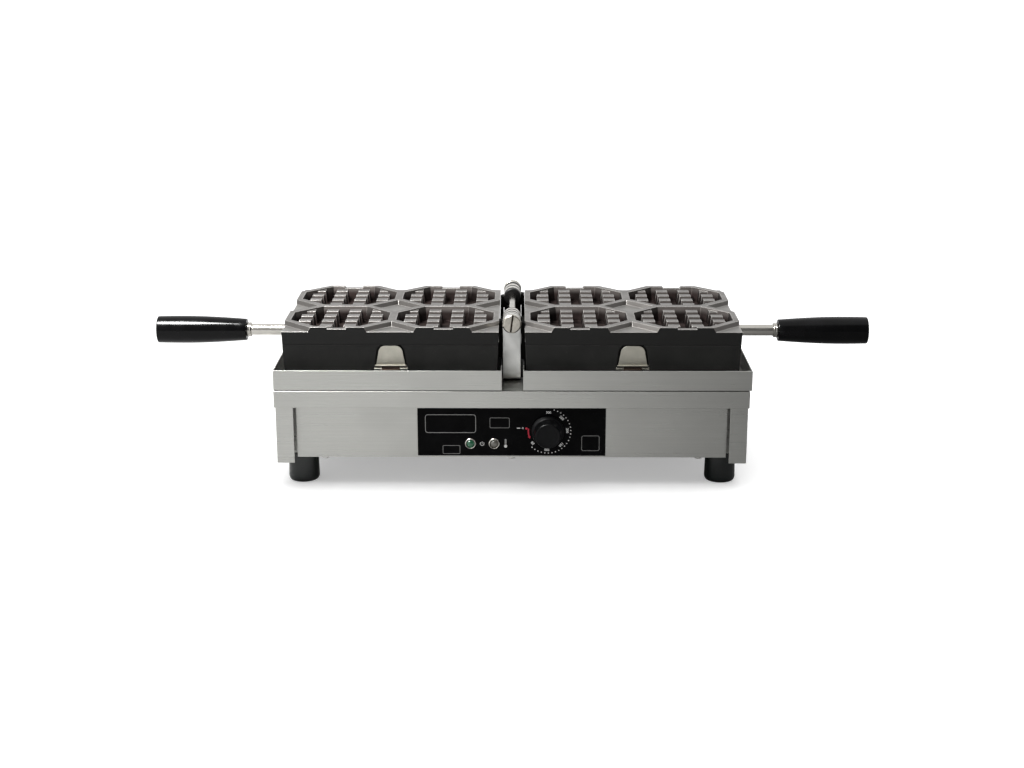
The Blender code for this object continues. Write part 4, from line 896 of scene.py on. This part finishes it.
def build_label_print(finishes):
    """Dial scale, lamp symbols, plain frames and a red arrow, printed on the label."""
    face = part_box("control_label")[0].y
    top = face - PRINT_HEIGHT
    knob_low, knob_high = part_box("thermostat_knob")
    dial = ((knob_low.x + knob_high.x) / 2, (knob_low.z + knob_high.z) / 2)
    label_low, label_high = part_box("control_label")

    white = bmesh.new()
    for i in range(24):
        angle = -133.0 + 9.0 * i
        spot = arc(dial, 24.4 * MM, angle, angle, 1)[0]
        add_plate(white, arc(spot, 0.62 * MM, 0.0, 337.5, 15), face, top)
    for words, angle in (("50", -140.0), ("100", -92.0), ("150", -46.0), ("200", 2.0), ("250", 45.0),
                         ("300", 88.0)):
        spot = arc(dial, 20.6 * MM, angle, angle, 1)[0]
        add_text(white, words, 3.7 * MM, spot, angle - 90.0, face)
    # Off mark: a short bar and a small ring.
    off = (dial[0] - 29.6 * MM, dial[1] + 3.3 * MM)
    bar_low = (off[0] - 3.2 * MM, off[1] - 0.5 * MM)
    bar_high = (off[0] + 0.4 * MM, off[1] + 0.5 * MM)
    add_plate(white, rounded_rectangle(bar_low, bar_high, 0.3 * MM, 3), face, top)
    centre = (off[0] + 3.2 * MM, off[1])
    add_band(white, arc(centre, 0.55 * MM, 0, 345, 23), arc(centre, 1.0 * MM, 0, 345, 23), face, top)
    finish_piece("dial_print", white, finishes["white_ink"], "base", smooth=False)

    # Symbols beside the lamps: power ring and stem, thermometer bulb and tube.
    symbols = bmesh.new()
    lamps = {name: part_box(f"{name}_lamp_bezel") for name in ("power", "heating")}
    low, high = lamps["power"]
    centre = (high.x + 6.3 * MM, (low.z + high.z) / 2 - 0.3 * MM)
    add_band(symbols, arc(centre, 1.75 * MM, -235, 55, 28), arc(centre, 2.25 * MM, -235, 55, 28), face, top,
             closed=False)
    stem_low = (centre[0] - 0.25 * MM, centre[1])
    stem_high = (centre[0] + 0.25 * MM, centre[1] + 2.6 * MM)
    add_plate(symbols, rounded_rectangle(stem_low, stem_high, 0.2 * MM, 3), face, top)
    low, high = lamps["heating"]
    centre = (high.x + 6.0 * MM, (low.z + high.z) / 2)
    add_plate(symbols, arc((centre[0], centre[1] - 3.0 * MM), 1.7 * MM, 0, 348, 29), face, top)
    tube_low = (centre[0] - 0.7 * MM, centre[1] - 2.2 * MM)
    tube_high = (centre[0] + 0.7 * MM, centre[1] + 4.6 * MM)
    outer = rounded_rectangle(tube_low, tube_high, 0.69 * MM)
    inner = rounded_rectangle((tube_low[0] + 0.35 * MM, tube_low[1] + 0.35 * MM),
                              (tube_high[0] - 0.35 * MM, tube_high[1] - 0.35 * MM), 0.3 * MM)
    add_band(symbols, inner, outer, face, top)
    finish_piece("lamp_symbols", symbols, finishes["white_ink"], "base", smooth=False)

    # Plain frames, in the places where the real label carries marks of its own.
    frames = bmesh.new()
    left, right, foot, head = label_low.x, label_high.x, label_low.z, label_high.z
    thin = 0.45 * MM
    for low, high, radius, width in (
            ((left + 8.0 * MM, head - 34.0 * MM), (left + 62.0 * MM, head - 13.5 * MM), 3.0 * MM, 0.7 * MM),
            ((left + 76.5 * MM, head - 28.5 * MM), (left + 97.5 * MM, head - 17.0 * MM), 1.5 * MM, thin),
            ((left + 26.5 * MM, foot + 2.0 * MM), (left + 45.0 * MM, foot + 11.5 * MM), 1.0 * MM, thin),
            ((right - 25.5 * MM, foot + 5.5 * MM), (right - 6.5 * MM, foot + 22.5 * MM), 2.0 * MM, thin)):
        outer = rounded_rectangle(low, high, radius)
        inner = rounded_rectangle((low[0] + width, low[1] + width), (high[0] - width, high[1] - width),
                                  radius - width)
        add_band(frames, inner, outer, face, top)
    finish_piece("plain_frames", frames, finishes["grey_ink"], "base", smooth=False)

    # Red arrow that bends from the off mark towards the scale.
    red = bmesh.new()
    radius, half = 20.6 * MM, 0.75 * MM
    start, end = 172.0, 197.0
    inner, outer = arc(dial, radius - half, start, end, 12), arc(dial, radius + half, start, end, 12)
    add_band(red, inner, outer, face, top, closed=False)
    tip = arc(dial, radius, end + 7.0, end + 7.0, 1)[0]
    add_plate(red, [arc(dial, radius - 2.1 * half, end - 0.5, end, 1)[0], tip,
                    arc(dial, radius + 2.1 * half, end - 0.5, end, 1)[0]], face, top)
    add_plate(red, arc((dial[0] - 22.6 * MM, dial[1] + 2.9 * MM), 1.25 * MM, 0, 345, 23), face, top)
    finish_piece("dial_arrow", red, finishes["red_ink"], "base", smooth=False)


# ---------------------------------------------------------------- centre hinge

def build_hinge(finishes):
    """Axle and bush as turned pieces; the slotted nuts and uprights keep their CAD shapes."""
    low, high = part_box("hinge_axle")
    radius = (high.x - low.x) / 2
    mesh = bmesh.new()
    rod = filleted([(0.0, low.y), (radius, low.y), (radius, high.y), (0.0, high.y)], 0.5 * MM)
    add_turned(mesh, "Y", (0.0, HINGE_Z), rod, 64)
    finish_piece("axle", mesh, finishes["polished_steel"], "base", ("hinge_axle",))

    low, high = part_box("spacer_bush")
    radius = (high.x - low.x) / 2
    mesh = bmesh.new()
    bore = 3.7 * MM
    sleeve = filleted([(bore, low.y), (radius - 0.8 * MM, low.y), (radius, low.y + 0.8 * MM),
                       (radius, high.y), (bore, high.y)], 0.4 * MM)
    add_turned(mesh, "Y", (0.0, HINGE_Z), sleeve, 96, ring=True)
    finish_piece("bush", mesh, finishes["black_oxide"], "base", ("spacer_bush",))


def build_gland(finishes):
    """Cable gland with a ribbed body, a domed nut and an open mouth."""
    low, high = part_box("cable_gland")
    centre = ((low.x + high.x) / 2, (low.z + high.z) / 2)
    outer = (high.x - low.x) / 2
    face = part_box("rear_panel")[1].y + 0.3 * MM
    mesh = bmesh.new()
    profile = filleted([(4.5 * MM, low.y), (7.7 * MM, low.y), (7.7 * MM, face), (outer, face),
                        (outer, face + 4.5 * MM), (9.6 * MM, face + 5.2 * MM), (9.6 * MM, face + 6.2 * MM),
                        (9.0 * MM, face + 6.6 * MM), (7.4 * MM, high.y), (4.5 * MM, high.y)], 0.9 * MM, 5)
    add_turned(mesh, "Y", centre, profile, 72, ring=True)
    finish_piece("gland", mesh, finishes["grey_plastic"], "base", ("cable_gland",))


# ---------------------------------------------------------------- CAD nodes that keep their shape

SPECIAL_FINISH = {"knuckle": "hinge_iron", "upright": "strap_steel", "lock_tab": "lock_tab",
                  "pivot_nut": "slotted_nut", "drip_tray": "inner_steel", "deck": "deck_steel"}
EDGE_ROUNDING = {"waffle_plate": 0.7, "block_housing": 1.0, "lock_tab": 0.35, "drip_tray": 0.30, "deck": 0.5,
                 "upright": 0.5, "knuckle": 0.45, "pivot_nut": 0.25, "panel": 0.4, "label": 0.25}


def dress_cad_nodes(finishes):
    """Each node's slot gives its finish; sheet metal, castings and mouldings get rounded edges."""
    for part in frame["record"]["subparts"]:
        name, slot = part["node"], part["material_slot"]
        finish = next((special for key, special in SPECIAL_FINISH.items() if key in name), slot)
        data = frame["nodes"][name].data
        data.materials.clear()
        data.materials.append(finishes[finish])
        width = next((w for key, w in EDGE_ROUNDING.items() if key in name), 0.3)
        if slot != "lead_sleeve":
            refine(name, width * MM)


make_camera()
make_stage()
make_world()
make_lights()
FINISHES = make_finishes()
dress_cad_nodes(FINISHES)
build_handles(FINISHES)
build_feet(FINISHES)
build_screws(FINISHES)
build_lamps(FINISHES)
build_knob(FINISHES)
build_label_print(FINISHES)
build_hinge(FINISHES)
build_gland(FINISHES)
